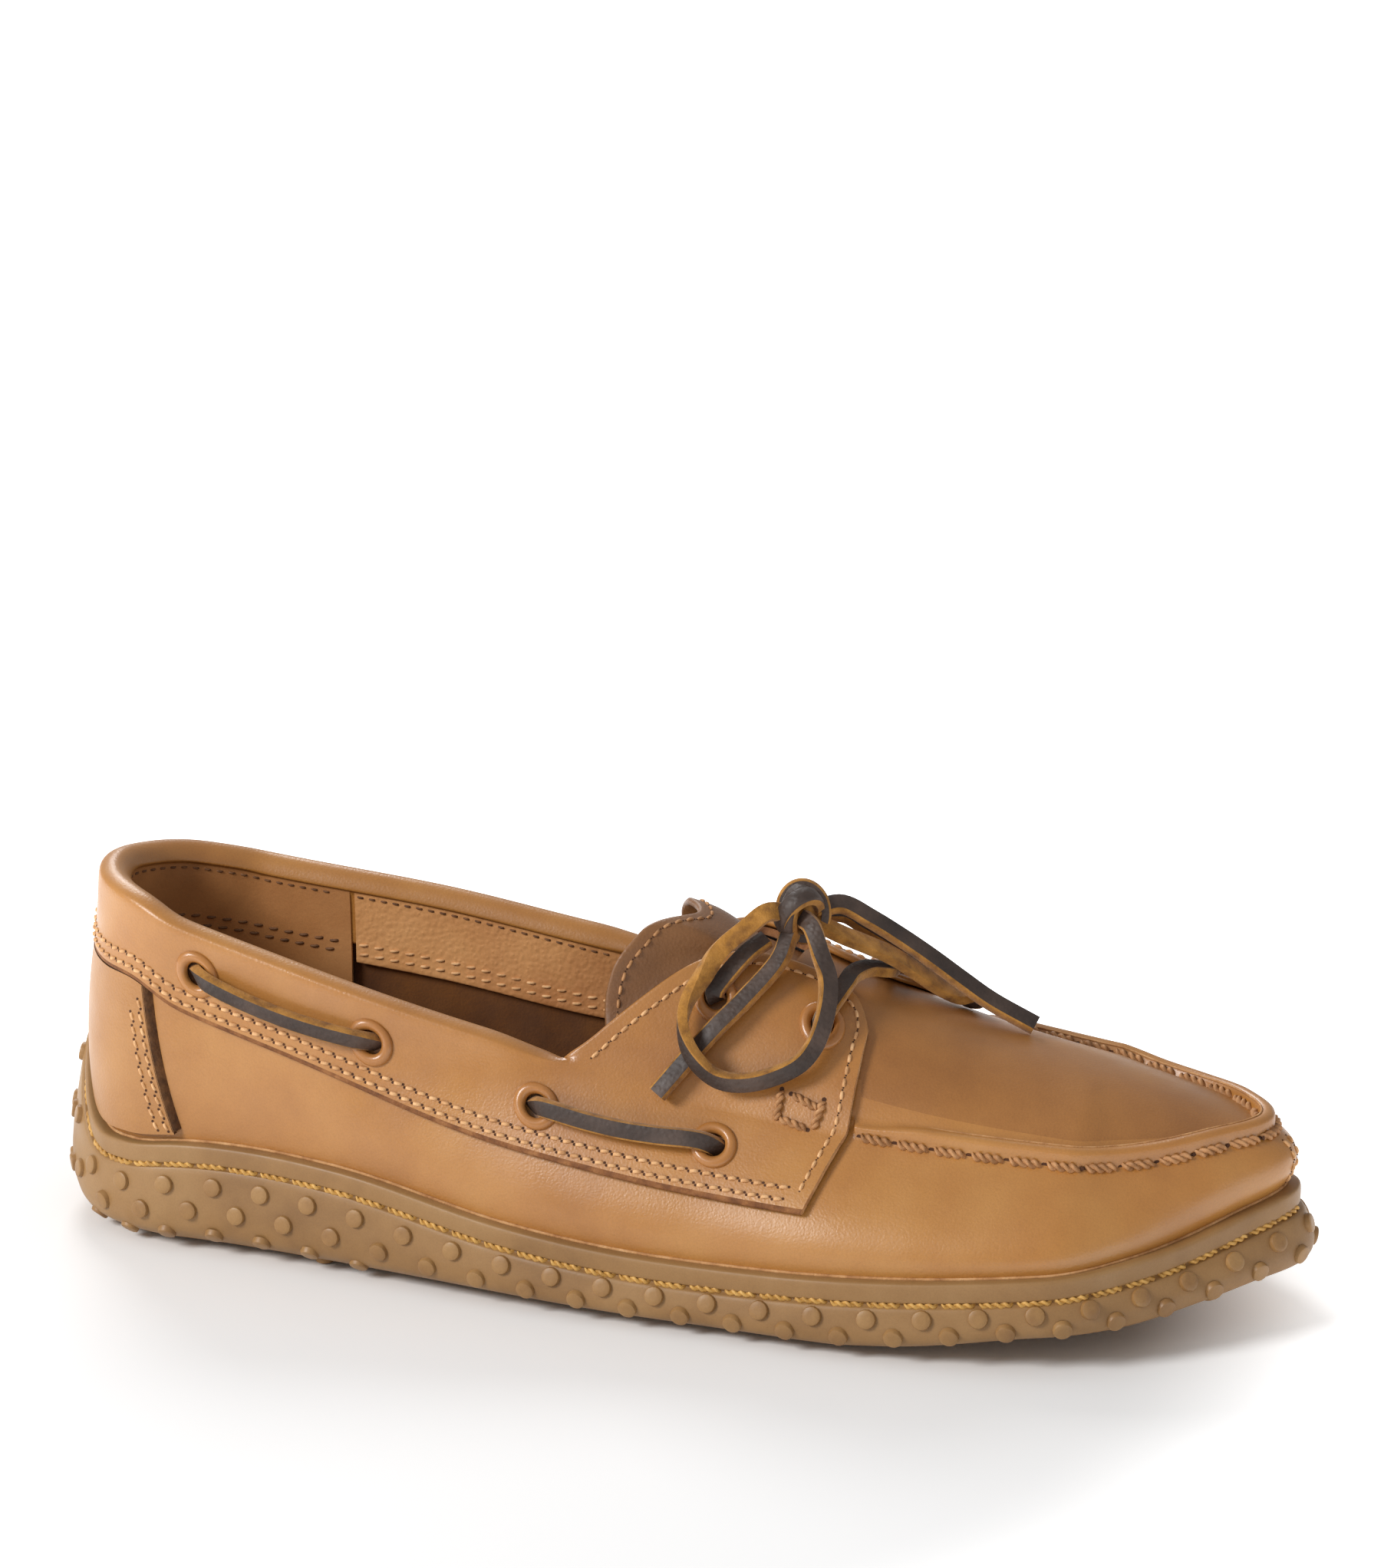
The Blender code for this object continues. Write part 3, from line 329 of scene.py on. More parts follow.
def skin(s, up):
    """Outer face of the upper: 0 to 1 on the wall, 1 to 2 over the instep."""
    at, side = split(s)
    up = np.asarray(up, float)
    r_wall, z_wall = wall(at, side, np.minimum(up, 1))
    r_top, z_top = instep(at, side, np.maximum(up - 1, 0))
    return place(at, side, np.where(up <= 1, r_wall, r_top), np.where(up <= 1, z_wall, z_top))


def unit(v):
    return v / np.maximum(np.linalg.norm(v, axis=-1, keepdims=True), 1e-9)


def normal(s, up):
    """Outward normal of the skin."""
    s, up = np.broadcast_arrays(np.asarray(s, float), np.asarray(up, float))
    step = 0.01
    crossing = (up == 1) & (np.abs(s) > WING_BACK)
    low = np.where(up <= 1, up - step, up)
    high = np.where(up <= 1, np.minimum(up, 1), np.minimum(up + step, 1.999))
    low = np.maximum(np.where(up == 1, 1 - step, low), 0)
    high = np.where(crossing, 1 + step, high)
    out = np.where(s < 0, -1.0, 1.0)
    along = (skin(s + step, up) - skin(s - step, up)) * out[..., None]
    rise = skin(s, high) - skin(s, low)
    n = unit(np.cross(along, rise) * -out[..., None])
    at, _ = split(s)
    crown = unit(np.stack([-spine_slope(at), np.zeros_like(at), np.ones_like(at)], -1))
    return np.where((up > 1.995)[..., None], crown, n)


def off_skin(s, up, off):
    s, up, off = (np.asarray(q, float) for q in np.broadcast_arrays(s, up, off))
    return skin(s, up) + normal(s, up) * off[..., None]


def wing_shift(s):
    return np.where(np.asarray(s) > 0, MEDIAL_WING_SHIFT, 0.0)


def wing_edge(s):
    return curve(WING, "edge", np.abs(s) - wing_shift(s))


def band_low(s):
    return curve(BAND, "edge", np.abs(s) - wing_shift(s) * ramp(1.24, COLLAR_ROLL_END, np.abs(s)))


def wing_lean(s, up):
    """Stations moved back below the shoulder line, as the wing's front edge leans back to its foot."""
    lean = WING_LEAN * ramp(WING_BACK, WING_FRONT, np.abs(s) - wing_shift(s)) * np.maximum(1 - up, 0)
    return s - np.sign(s) * lean


def band_face(s, up):
    """Distance of the band's outer face from the skin: it swells towards the padded top of the collar."""
    swell = ramp(0.7, 1, up) * (1 - ramp(COLLAR_ROLL_END, WING_BACK, np.abs(s) - wing_shift(s)))
    return mix(FACET_GAP + OVERLAY, COLLAR_PAD, swell)


# Mesh helpers

def to_part(points):
    return (np.asarray(points, float) + ORIGIN) * MM


def make_object(name, mesh, paints, smooth=60):
    for paint in paints:
        mesh.materials.append(paint)
    mesh.shade_smooth()
    mesh.set_sharp_from_angle(angle=radians(smooth))
    made = bpy.data.objects.new(name, mesh)
    bpy.context.scene.collection.objects.link(made)
    return made


def mesh_object(name, points, faces, paints, marks=None, smooth=60, weld=0.02):
    """Object from points in millimetres; marks gives each face's place in paints."""
    mesh = bpy.data.meshes.new(name)
    mesh.from_pydata([tuple(p) for p in to_part(points)], [], [tuple(int(i) for i in f) for f in faces])
    if marks is not None:
        mesh.polygons.foreach_set("material_index", np.asarray(marks, dtype=np.int32))
    bm = bmesh.new()
    bm.from_mesh(mesh)
    bmesh.ops.remove_doubles(bm, verts=bm.verts, dist=weld * MM)
    bmesh.ops.dissolve_degenerate(bm, edges=bm.edges, dist=0.001 * MM)
    bmesh.ops.recalc_face_normals(bm, faces=bm.faces)
    bm.to_mesh(mesh)
    bm.free()
    return make_object(name, mesh, paints, smooth)


def grid_faces(rows, columns, start=0, wrap_rows=False, wrap_columns=False, flip=False):
    """Quads of a grid whose point (i, j) has index start + i * columns + j."""
    i = np.arange(rows if wrap_rows else rows - 1)
    j = np.arange(columns if wrap_columns else columns - 1)
    i, j = np.meshgrid(i, j, indexing="ij")
    k, m = (i + 1) % rows, (j + 1) % columns
    corners = [i * columns + j, k * columns + j, k * columns + m, i * columns + m]
    if flip:
        corners.reverse()
    return np.stack([c.ravel() for c in corners], 1) + start


def solid_from_rings(name, rings, paints, ring_marks=None, closed=False, smooth=60, cap=0):
    """Solid through rings (n, m, 3), capped at both ends; ring_marks gives each strip its paint."""
    n, m = rings.shape[:2]
    faces = [tuple(f) for f in grid_faces(n, m, wrap_columns=True, wrap_rows=closed)]
    marks = list(np.tile([0] * m if ring_marks is None else ring_marks, n if closed else n - 1))
    if not closed:
        faces += [tuple(range(m)), tuple((n - 1) * m + np.arange(m)[::-1])]
        marks += [cap, cap]
    return mesh_object(name, rings.reshape(-1, 3), faces, paints, marks, smooth)


def refine(knots, count, axis=0):
    """Dense points of the smooth curves through knots along an axis, count to a span."""
    knots = np.moveaxis(np.asarray(knots, float), axis, 0)
    padded = np.concatenate([2 * knots[:1] - knots[1:2], knots, 2 * knots[-1:] - knots[-2:-1]])
    a, b, c, d = padded[:-3], padded[1:-2], padded[2:-1], padded[3:]
    u = (np.arange(count) / count).reshape((1, count) + (1,) * (knots.ndim - 1))
    a, b, c, d = (q[:, None] for q in (a, b, c, d))
    fine = (2 * b + (c - a) * u + (2 * a - 5 * b + 4 * c - d) * u**2 + (3 * b - a - 3 * c + d) * u**3) / 2
    fine = fine.reshape((-1,) + knots.shape[1:])
    return np.moveaxis(np.concatenate([fine, knots[-1:]]), 0, axis)


def lengths(path):
    return np.concatenate([[0], np.cumsum(np.linalg.norm(np.diff(path, axis=0), axis=1))])


def read_off(spots, marks, values):
    """Values at spots, between the rows of values that belong to marks."""
    return np.stack([np.interp(spots, marks, values[:, k]) for k in range(values.shape[1])], -1)


def resample(path, count, *others):
    """Evenly spaced points of a path, and the same places of other arrays."""
    marks = lengths(path)
    targets = np.linspace(0, marks[-1], count)
    found = [read_off(targets, marks, q) for q in (path, *others)]
    return found if others else found[0]


def soften(grid, rounds, axis, hold=1):
    """Evens out a grid of points along an axis, keeping its first and last lines."""
    grid = np.moveaxis(grid.copy(), axis, 0)
    for _ in range(rounds):
        inner = (grid[:-2] + 2 * grid[1:-1] + grid[2:]) / 4
        grid[hold:len(grid) - hold] = inner[hold - 1:len(inner) - hold + 1]
    return np.moveaxis(grid, 0, axis)


def half_round(start, end, away, count=4):
    """Points of a half round from start to end that bulges along away; start and end left out."""
    middle, half = (start + end) / 2, (start - end) / 2
    size = np.linalg.norm(half, axis=-1, keepdims=True)
    angles = np.pi * np.arange(1, count + 1) / (count + 1)
    return np.stack([middle + half * cos(a) + away * size * sin(a) for a in angles], -2)


# Materials

def nodes_of(name):
    made = bpy.data.materials.new(name)
    made.use_nodes = True
    tree = made.node_tree
    return made, tree, tree.nodes["Principled BSDF"]


def add(tree, kind, **values):
    """Adds a node; values name its properties, or its inputs by their place or name."""
    node = tree.nodes.new(kind)
    for key, value in values.items():
        if hasattr(node, key):
            setattr(node, key, value)
        else:
            node.inputs[key.replace("_", " ")].default_value = value
    return node


def ramp_node(tree, source, *stops):
    """Colour ramp from (place, colour) stops."""
    node = tree.nodes.new("ShaderNodeValToRGB")
    ends = node.color_ramp.elements
    while len(ends) < len(stops):
        ends.new(0.5)
    for end, (spot, colour) in zip(ends, stops):
        end.position = spot
        end.color = (*colour, 1)
    tree.links.new(source, node.inputs[0])
    return node.outputs[0]


def noise(tree, where, scale, detail=2.0, rough=0.5):
    node = add(tree, "ShaderNodeTexNoise", Scale=scale, Detail=detail, Roughness=rough)
    tree.links.new(where, node.inputs["Vector"])
    return node


def linear(*rgb):
    """Linear colour from a colour in sRGB, 0 to 255."""
    return tuple((c / 255 / 12.92) if c <= 10 else ((c / 255 + 0.055) / 1.055) ** 2.4 for c in rgb)


PORES_TO_A_METRE = 2600.0
PORE_DEPTH = 0.3
GLOSS_SPREAD = 0.07


def surface(name, light, mid, dark, grain, depth, rough, blotch=25.0, sheen=0.0, coat=0.0, shine=0.5):
    """Leather, suede, rubber or cloth: blotchy colour, a cell grain of a size in mm, pores, uneven gloss."""
    made, tree, shader = nodes_of(name)
    links = tree.links
    where = add(tree, "ShaderNodeTexCoord").outputs["Object"]
    patch = noise(tree, where, blotch, 4.0, 0.6)
    stops = [(spot, linear(*colour)) for spot, colour in ((0.30, dark), (0.50, mid), (0.72, light))]
    colour = ramp_node(tree, patch.outputs["Fac"], *stops)
    pores = noise(tree, where, PORES_TO_A_METRE, 3.0, 0.6)
    speck = add(tree, "ShaderNodeMix", data_type="RGBA", blend_type="MULTIPLY")
    speck.inputs["Factor"].default_value = 0.35
    links.new(colour, speck.inputs["A"])
    shade = ramp_node(tree, pores.outputs["Fac"], (0.3, (0.72, 0.72, 0.72)), (0.6, (1, 1, 1)))
    links.new(shade, speck.inputs["B"])
    links.new(speck.outputs["Result"], shader.inputs["Base Color"])
    cells = tree.nodes.new("ShaderNodeTexVoronoi")
    cells.feature = "SMOOTH_F1"
    cells.inputs["Scale"].default_value = 1000 / grain
    warp = add(tree, "ShaderNodeMix", data_type="VECTOR")
    warp.inputs["Factor"].default_value = 0.0006
    links.new(where, warp.inputs["A"])
    links.new(noise(tree, where, 500 / grain, 2.0).outputs["Color"], warp.inputs["B"])
    links.new(warp.outputs["Result"], cells.inputs["Vector"])
    bump = add(tree, "ShaderNodeBump", Strength=depth, Distance=0.25 * MM * grain)
    links.new(cells.outputs["Distance"], bump.inputs["Height"])
    bump.invert = True
    small = add(tree, "ShaderNodeBump", Strength=PORE_DEPTH, Distance=0.06 * MM)
    links.new(pores.outputs["Fac"], small.inputs["Height"])
    links.new(bump.outputs["Normal"], small.inputs["Normal"])
    links.new(small.outputs["Normal"], shader.inputs["Normal"])
    gloss = tree.nodes.new("ShaderNodeMapRange")
    for socket, value in zip(gloss.inputs[1:5], (0.3, 0.7, rough + GLOSS_SPREAD, rough - GLOSS_SPREAD)):
        socket.default_value = value
    links.new(noise(tree, where, 3 * blotch, 3.0).outputs["Fac"], gloss.inputs["Value"])
    links.new(gloss.outputs["Result"], shader.inputs["Roughness"])
    shader.inputs["Sheen Weight"].default_value = sheen
    shader.inputs["Specular IOR Level"].default_value = shine
    shader.inputs["Coat Weight"].default_value = coat
    return made


LEATHER = surface("tan_leather", (184, 130, 66), (172, 116, 54), (155, 100, 43), 0.5, 0.3, 0.37, shine=0.7)
# Darker copy of the tan leather for the apron's outer faces: painted shade on the apron's upward faces.
APRON_SHADE_LEATHER = surface("apron_leather_painted_shade", (172, 120, 63), (158, 105, 51), (142, 91, 42), 0.5, 0.3, 0.4, shine=0.55)
EDGE = surface("leather_edge", (160, 108, 62), (128, 80, 42), (96, 56, 28), 0.5, 0.8, 0.85, 300.0)
DARK_EDGE = surface("dark_edge", (118, 78, 42), (92, 58, 28), (64, 38, 16), 0.5, 0.9, 0.9, 400.0)
PALE_EDGE = surface("pale_edge", (214, 168, 118), (194, 144, 94), (160, 108, 64), 0.5, 0.8, 0.85, 300.0)
COUNTER = surface("counter_leather", (178, 126, 64), (166, 113, 53), (150, 97, 43), 0.5, 0.35, 0.38,
                  shine=0.65)
TONGUE = surface("tongue_leather", (142, 99, 60), (129, 87, 50), (110, 72, 40), 0.6, 0.45, 0.46)
SUEDE = surface("inner_suede", (120, 72, 22), (99, 56, 13), (76, 40, 8), 0.5, 0.7, 0.95, 60.0, sheen=0.2)
LINING = surface("pebbled_lining", (226, 170, 112), (212, 153, 96), (184, 124, 74), 1.0, 0.65, 0.55)
HEEL_LINING = surface("heel_lining", (196, 142, 90), (182, 126, 76), (156, 104, 60), 0.7, 0.2, 0.45)
RUBBER = surface("gum_rubber", (158, 121, 76), (148, 110, 65), (131, 95, 54), 0.5, 0.12, 0.5, 40.0)
NUB_RUBBER = surface("nub_rubber", (162, 124, 76), (152, 113, 66), (136, 98, 56), 0.5, 0.12, 0.48, 90.0)
THREAD = surface("tan_thread", (232, 186, 136), (216, 166, 114), (184, 132, 84), 0.25, 0.6, 0.7, 400.0)
BROWN_THREAD = surface("brown_thread", (132, 90, 54), (110, 72, 40), (84, 52, 26), 0.25, 0.6, 0.7, 400.0)
MOC_THREAD = surface("moc_thread", (198, 148, 100), (176, 126, 80), (136, 92, 52), 0.25, 0.6, 0.65, 400.0)
GOLD = surface("gold_thread", (218, 172, 96), (200, 152, 76), (162, 116, 52), 0.25, 0.6, 0.55, 400.0)
# Dark brown for discs at the stitch ends: painted shade of the stitch holes.
HOLE_SHADE = surface("pin_hole_painted_shade", (92, 54, 28), (74, 42, 20), (54, 30, 14), 0.5, 0.1, 0.9)
PAINT = surface("eyelet_paint", (182, 126, 68), (172, 115, 58), (158, 102, 50), 3.0, 0.05, 0.34, coat=0.2)
RAWHIDE = surface("rawhide_grain", (84, 66, 56), (62, 47, 39), (44, 32, 26), 0.9, 0.7, 0.56, 90.0)
LACE_SUEDE = surface("rawhide_suede", (184, 130, 58), (158, 108, 40), (118, 76, 26), 0.4, 0.9, 0.95, 300.0,
                      sheen=0.15)


# Sole

SOLE_STEPS = (90, 150, 110)


def sole_stations():
    """Signed stations once round the shoe from the toe's tip, along the outer side first."""
    one = np.concatenate([np.linspace(0, 1, SOLE_STEPS[0]), np.linspace(1, 2, SOLE_STEPS[1])[1:],
                          np.linspace(2, 3, SOLE_STEPS[2])[1:]])
    return np.concatenate([-one[::-1], one[1:-1]])


def sole_side(s):
    at, _ = split(s)
    low = lift(*split(s)) + NUB_HEIGHT
    top = rim_top(at)
    groove = top - RIM_BAND
    return low, mix(low, groove, 0.45), groove, top


def sole_knots(s):
    """Section of the cup's side from the under face to the leather, as (reach, height) columns."""
    at, side = split(s)
    low, wide, groove, top = sole_side(s)
    r, r_rim = reach(at, side), rim_reach(at, side)
    near_groove = mix(r, r_rim, 0.7)
    return [
        (r - SOLE_EDGE, low), (r - 0.45 * SOLE_EDGE, low + 0.10 * (groove - low)),
        (r - 0.10 * SOLE_EDGE, mix(low, wide, 0.5)), (r, wide),
        (mix(r, near_groove, 0.5), mix(wide, groove - 0.9, 0.6)), (near_groove, groove - 0.9),
        (r_rim - 0.2, groove - 0.45), (r_rim - 0.75, groove), (r_rim - 0.1, groove + 0.45),
        (r_rim + 0.1, groove + 0.9),
        (r_rim + 0.15, top - 1.5), (r_rim, top - 0.4), (r_rim - 0.5, top), (r_rim - 1.8, top + 0.05),
        (leather_foot(at, side)[0] + 0.25, top - 0.1),
    ]


def sole():
    s = sole_stations()
    at, side = split(s)
    side_knots = np.stack([np.stack(np.broadcast_arrays(*k), -1) for k in sole_knots(s)], 1)
    fine = refine(side_knots, 3, axis=1)
    r = reach(at, side)
    under = [np.stack([r * share, lift(at, side, share) + NUB_HEIGHT], -1) for share in (0.05, 0.3, 0.6)]
    r_foot = leather_foot(at, side)[0] + 0.25
    floor = floor_height(at, side)
    seat = [(r_foot - 0.25 * FEATHER_TUCK, mix(floor, rim_top(at), 0.5)), (r_foot - FEATHER_TUCK, floor)]
    seat += [(0.05 * r_foot, floor_height(at, side, 0.05))]
    rows = np.concatenate([np.stack(under, 1), fine, np.stack([np.stack(k, -1) for k in seat], 1)], 1)
    points = place(at[:, None], side[:, None], rows[..., 0], rows[..., 1])
    n, m = points.shape[:2]
    return mesh_object("sole", points.reshape(-1, 3), cup_faces(n, m), [RUBBER], smooth=50)


def cup_faces(n, m):
    """Faces of a body from rings round the shoe, closed across the centre line above and below."""
    faces = [tuple(f) for f in grid_faces(n, m, wrap_rows=True)]
    return faces + middle_fill(n, m, 0) + middle_fill(n, m, m - 1)


def middle_fill(n, m, column):
    """Faces that join the two sides of a ring of points across the centre line."""
    spots = [i * m + column for i in range(n)]
    half = n // 2
    return [(spots[i], spots[i + 1], spots[-i - 1], spots[-i % n]) if i else (spots[0], spots[1], spots[-1])
            for i in range(half)]


def sole_point(s, z):
    """Point and outward normal of the sole's side at a height."""
    at, side = split(s)
    knots = [(float(a), float(b)) for a, b in sole_knots(s)[:12]]
    for (r0, z0), (r1, z1) in zip(knots, knots[1:]):
        if z <= z1:
            break
    share = min(max((z - z0) / (z1 - z0), 0), 1) if z1 > z0 else 0
    point = place(at, side, mix(r0, r1, share), z)
    along = unit(rim_line(s + 0.01, 0) - rim_line(s - 0.01, 0))
    level = np.array((-along[1], along[0], 0.0))
    tilt = np.arctan2(r0 - r1, z1 - z0)
    return point, unit(level * cos(tilt) + np.array((0, 0, 1.0)) * sin(tilt))


def rim_line(s, z):
    at, side = split(s)
    return place(at, side, reach(at, side), z)


def outline_walk(spacing, offset=0.0):
    """Signed stations a given distance apart along the outline."""
    s = np.linspace(-3, 3, 1201)
    marks = lengths(rim_line(s, 0))
    count = round(marks[-1] / spacing)
    return np.interp((np.arange(count) + offset) * marks[-1] / count, marks, s)


def studs(name, spots, profile, sides, paint, smooth, weld):
    """Small round forms at (point, normal) spots, through rings of (radius, height)."""
    points, faces = [], []
    angles = 2 * pi * np.arange(sides) / sides
    for point, out in spots:
        turn = np.array(Vector(out).to_track_quat("Z", "Y").to_matrix())
        start = len(points) * sides
        for r, height in profile:
            ring = np.stack([np.cos(angles) * r, np.sin(angles) * r, np.full(sides, height)], 1)
            points.append(ring @ turn.T + point)
        faces += [tuple(f) for f in grid_faces(len(profile), sides, start, wrap_columns=True)]
        top = start + (len(profile) - 1) * sides
        faces += [tuple(top + np.arange(sides)), tuple(start + np.arange(sides)[::-1])]
    return mesh_object(name, np.concatenate(points), faces, [paint], smooth=smooth, weld=weld)


def find_station(x, y):
    """Signed station and reach of a point in plan."""
    if x < HEEL_X:
        at = 2 - np.degrees(np.arctan2(abs(y), x - HEEL_X)) / 90
        return (at if y > 0 else -at), np.hypot(x - HEEL_X, y)
    if x < TOE_X:
        at = 1 + (x - HEEL_X) / (TOE_X - HEEL_X)
        y -= TOE_SWING * ramp(0, 1, at - 1)
        return (at if y > 0 else -at), abs(y)
    y -= TOE_SWING
    at = 3 - np.degrees(np.arctan2(abs(y), x - TOE_X)) / 90
    return (at if y > 0 else -at), np.hypot(x - TOE_X, y)


ROWS_IN_HEIGHT = 2.85
NUB_PROFILE = ((1.0, -0.5), (1.0, 0.35), (0.93, 0.8), (0.78, 0.97), (0.35, 1.0))


def nubs():
    spots = []
    for row in range(8):
        for s in outline_walk(NUB_PITCH, 0.5 * (row % 2)):
            low, _, groove, _ = sole_side(s)
            step = min(NUB_ROW, (groove - low) / ROWS_IN_HEIGHT)
            z = float(groove - (0.75 + row) * step)
            if z > low + 0.2 * step:
                spots.append(sole_point(s, z))
    row_step = NUB_PITCH * cos(radians(30))
    for i in range(-12, 13):
        for j in range(-6, 7):
            x, y = i * row_step, (j + 0.5 * (i % 2)) * NUB_PITCH
            s, r = find_station(x, y)
            at, side = split(s)
            edge = reach(at, side)
            if r < edge - SOLE_EDGE:
                z = float(lift(at, side, r / edge)) + NUB_HEIGHT
                spots.append((np.array((x, y, z)), -UP))
    profile = [(r * NUB_WIDTH / 2, rise * NUB_HEIGHT) for r, rise in NUB_PROFILE]
    return studs("nubs", spots, profile, 14, NUB_RUBBER, smooth=35, weld=0.001)


# Upper

WALL_ROWS = np.concatenate([np.linspace(0, 0.2, 6), np.linspace(0.2, 1, 34)[1:]])
RIDGE_ROWS = 9
APRON_ROWS = 22
CREST_DIP = 0.07


def upper_stations(side):
    one = np.concatenate([np.linspace(0, 1, 40), np.linspace(1, 2, 130)[1:], np.linspace(2, 3, 56)[1:]])
    start = RIDGE_START + wing_shift(side)
    extra = [THROAT - 0.004, THROAT, start - 0.003, start]
    kept = one[np.min(np.abs(one[:, None] - np.array(extra)), axis=1) > 0.003]
    return np.sort(np.concatenate([kept, extra]))


def upper_edge(at, side):
    shift = wing_shift(side)
    edge = np.minimum(curve(WING, "edge", at - shift) - 1, 0.78) * 0.96
    edge = np.where(at <= WING["at"][1] + shift + 1e-4, 0, edge)
    return np.where(at >= THROAT - 1e-5, 1.0, edge)


def ridge_height(at, side):
    start, full = RIDGE_START + wing_shift(side), RIDGE_FULL + wing_shift(side)
    return np.where(at < start - 1e-4, 0, RIDGE_HEIGHT * mix(0.6, 1, ramp(start, full, at)))


def crest(at, side):
    """The shell's share of the wall's height, which dips behind the wing's back foot."""
    away = np.abs(at - WING_BACK - wing_shift(side) - 0.01)
    return 1 - CREST_DIP * (1 - ramp(0.02, 0.04, away))


def upper_grid(side):
    """Outer and inner points of one side of the shell, from its feather edge to the middle of the instep."""
    at = upper_stations(side)
    s = side * at
    rows = WALL_ROWS[None] * crest(at, side)[:, None]
    outer = skin(s[:, None], rows)
    inner = off_skin(s[:, None], rows, -UPPER_WALL)
    edge, tall = upper_edge(at, side), ridge_height(at, side)
    foot = (RIDGE_WIDTH / shoulder(at, np.full_like(at, side))[0])[:, None]
    ridged = tall > 0
    angles = np.linspace(0, pi, RIDGE_ROWS - 2)
    across_ridge = np.concatenate([[0.0], 0.45 * (1 - np.cos(angles)), [1.0]])
    rise_ridge = np.concatenate([[0.35], 0.72 + 0.28 * np.sin(angles), [0.0]])
    share = np.linspace(0, 1, APRON_ROWS + 1)[1:]
    ridge_flat = np.linspace(0, 1, RIDGE_ROWS + 1)[1:] * 0.2
    flat = np.concatenate([ridge_flat, mix(0.2, 1, share)])
    across = flat[None] * edge[:, None]
    ridge_across = np.concatenate([across_ridge[None] * foot, mix(foot, 1, share[None])], 1)
    across = np.where(ridged[:, None], ridge_across, across)
    over = skin(s[:, None], 1 + np.maximum(across, 1e-6))
    base = skin(s, 1.0)[:, 2]
    raised = base[:, None] + tall[:, None] * rise_ridge[None]
    keep = over[:, :RIDGE_ROWS, 2].copy()
    over[:, :RIDGE_ROWS, 2] = np.where(ridged[:, None], np.maximum(raised, keep), keep)
    under = off_skin(s[:, None], 1 + np.maximum(across, 1e-6), -UPPER_WALL)
    none = edge == 0
    over[none] = outer[none, -1][:, None]
    under[none] = inner[none, -1][:, None]
    return np.concatenate([outer, over], 1), np.concatenate([inner, under], 1), edge


def upper():
    points, faces, marks = [], [], []
    for side in (-1, 1):
        outer, inner, edge = upper_grid(side)
        n, m = outer.shape[:2]
        start = sum(len(p) for p in points)
        points += [outer.reshape(-1, 3), inner.reshape(-1, 3)]
        out_faces = [tuple(f) for f in grid_faces(n, m, start)]
        in_faces = [tuple(f) for f in grid_faces(n, m, start + n * m)]
        faces += out_faces + in_faces
        # The apron's outer faces take the darker copy of the leather, painted shade.
        apron = np.arange(m - 1) >= len(WALL_ROWS) + RIDGE_ROWS
        marks += list(np.tile(3 * apron, n - 1)) + [1] * len(in_faces)
        for i in range(n - 1):
            a, b = start + i * m, start + (i + 1) * m
            faces.append((a, b, b + n * m, a + n * m))
            marks.append(0)
            if edge[i] < 1 or edge[i + 1] < 1:
                a, b = a + m - 1, b + m - 1
                faces.append((a, b, b + n * m, a + n * m))
                marks.append(2)
    paints = [LEATHER, SUEDE, EDGE, APRON_SHADE_LEATHER]
    return mesh_object("upper_shell", np.concatenate(points), faces, paints, marks, smooth=50)


# Collar band

BAND_STEPS = (52, 30, 96)
ROLL_DEPTH = 2.6
ROLL_RISE = 0.8
BAND_SOFTENING = 8


def band_stations():
    one = np.concatenate([np.linspace(0, 1, BAND_STEPS[0]), np.linspace(1, 1.3, BAND_STEPS[1])[1:],
                          np.linspace(1.3, WING_FRONT, BAND_STEPS[2])[1:]])
    lateral = -one[::-1]
    medial = one[1:] + MEDIAL_WING_SHIFT * ramp(1.24, COLLAR_ROLL_END, one[1:])
    return np.concatenate([lateral, medial])


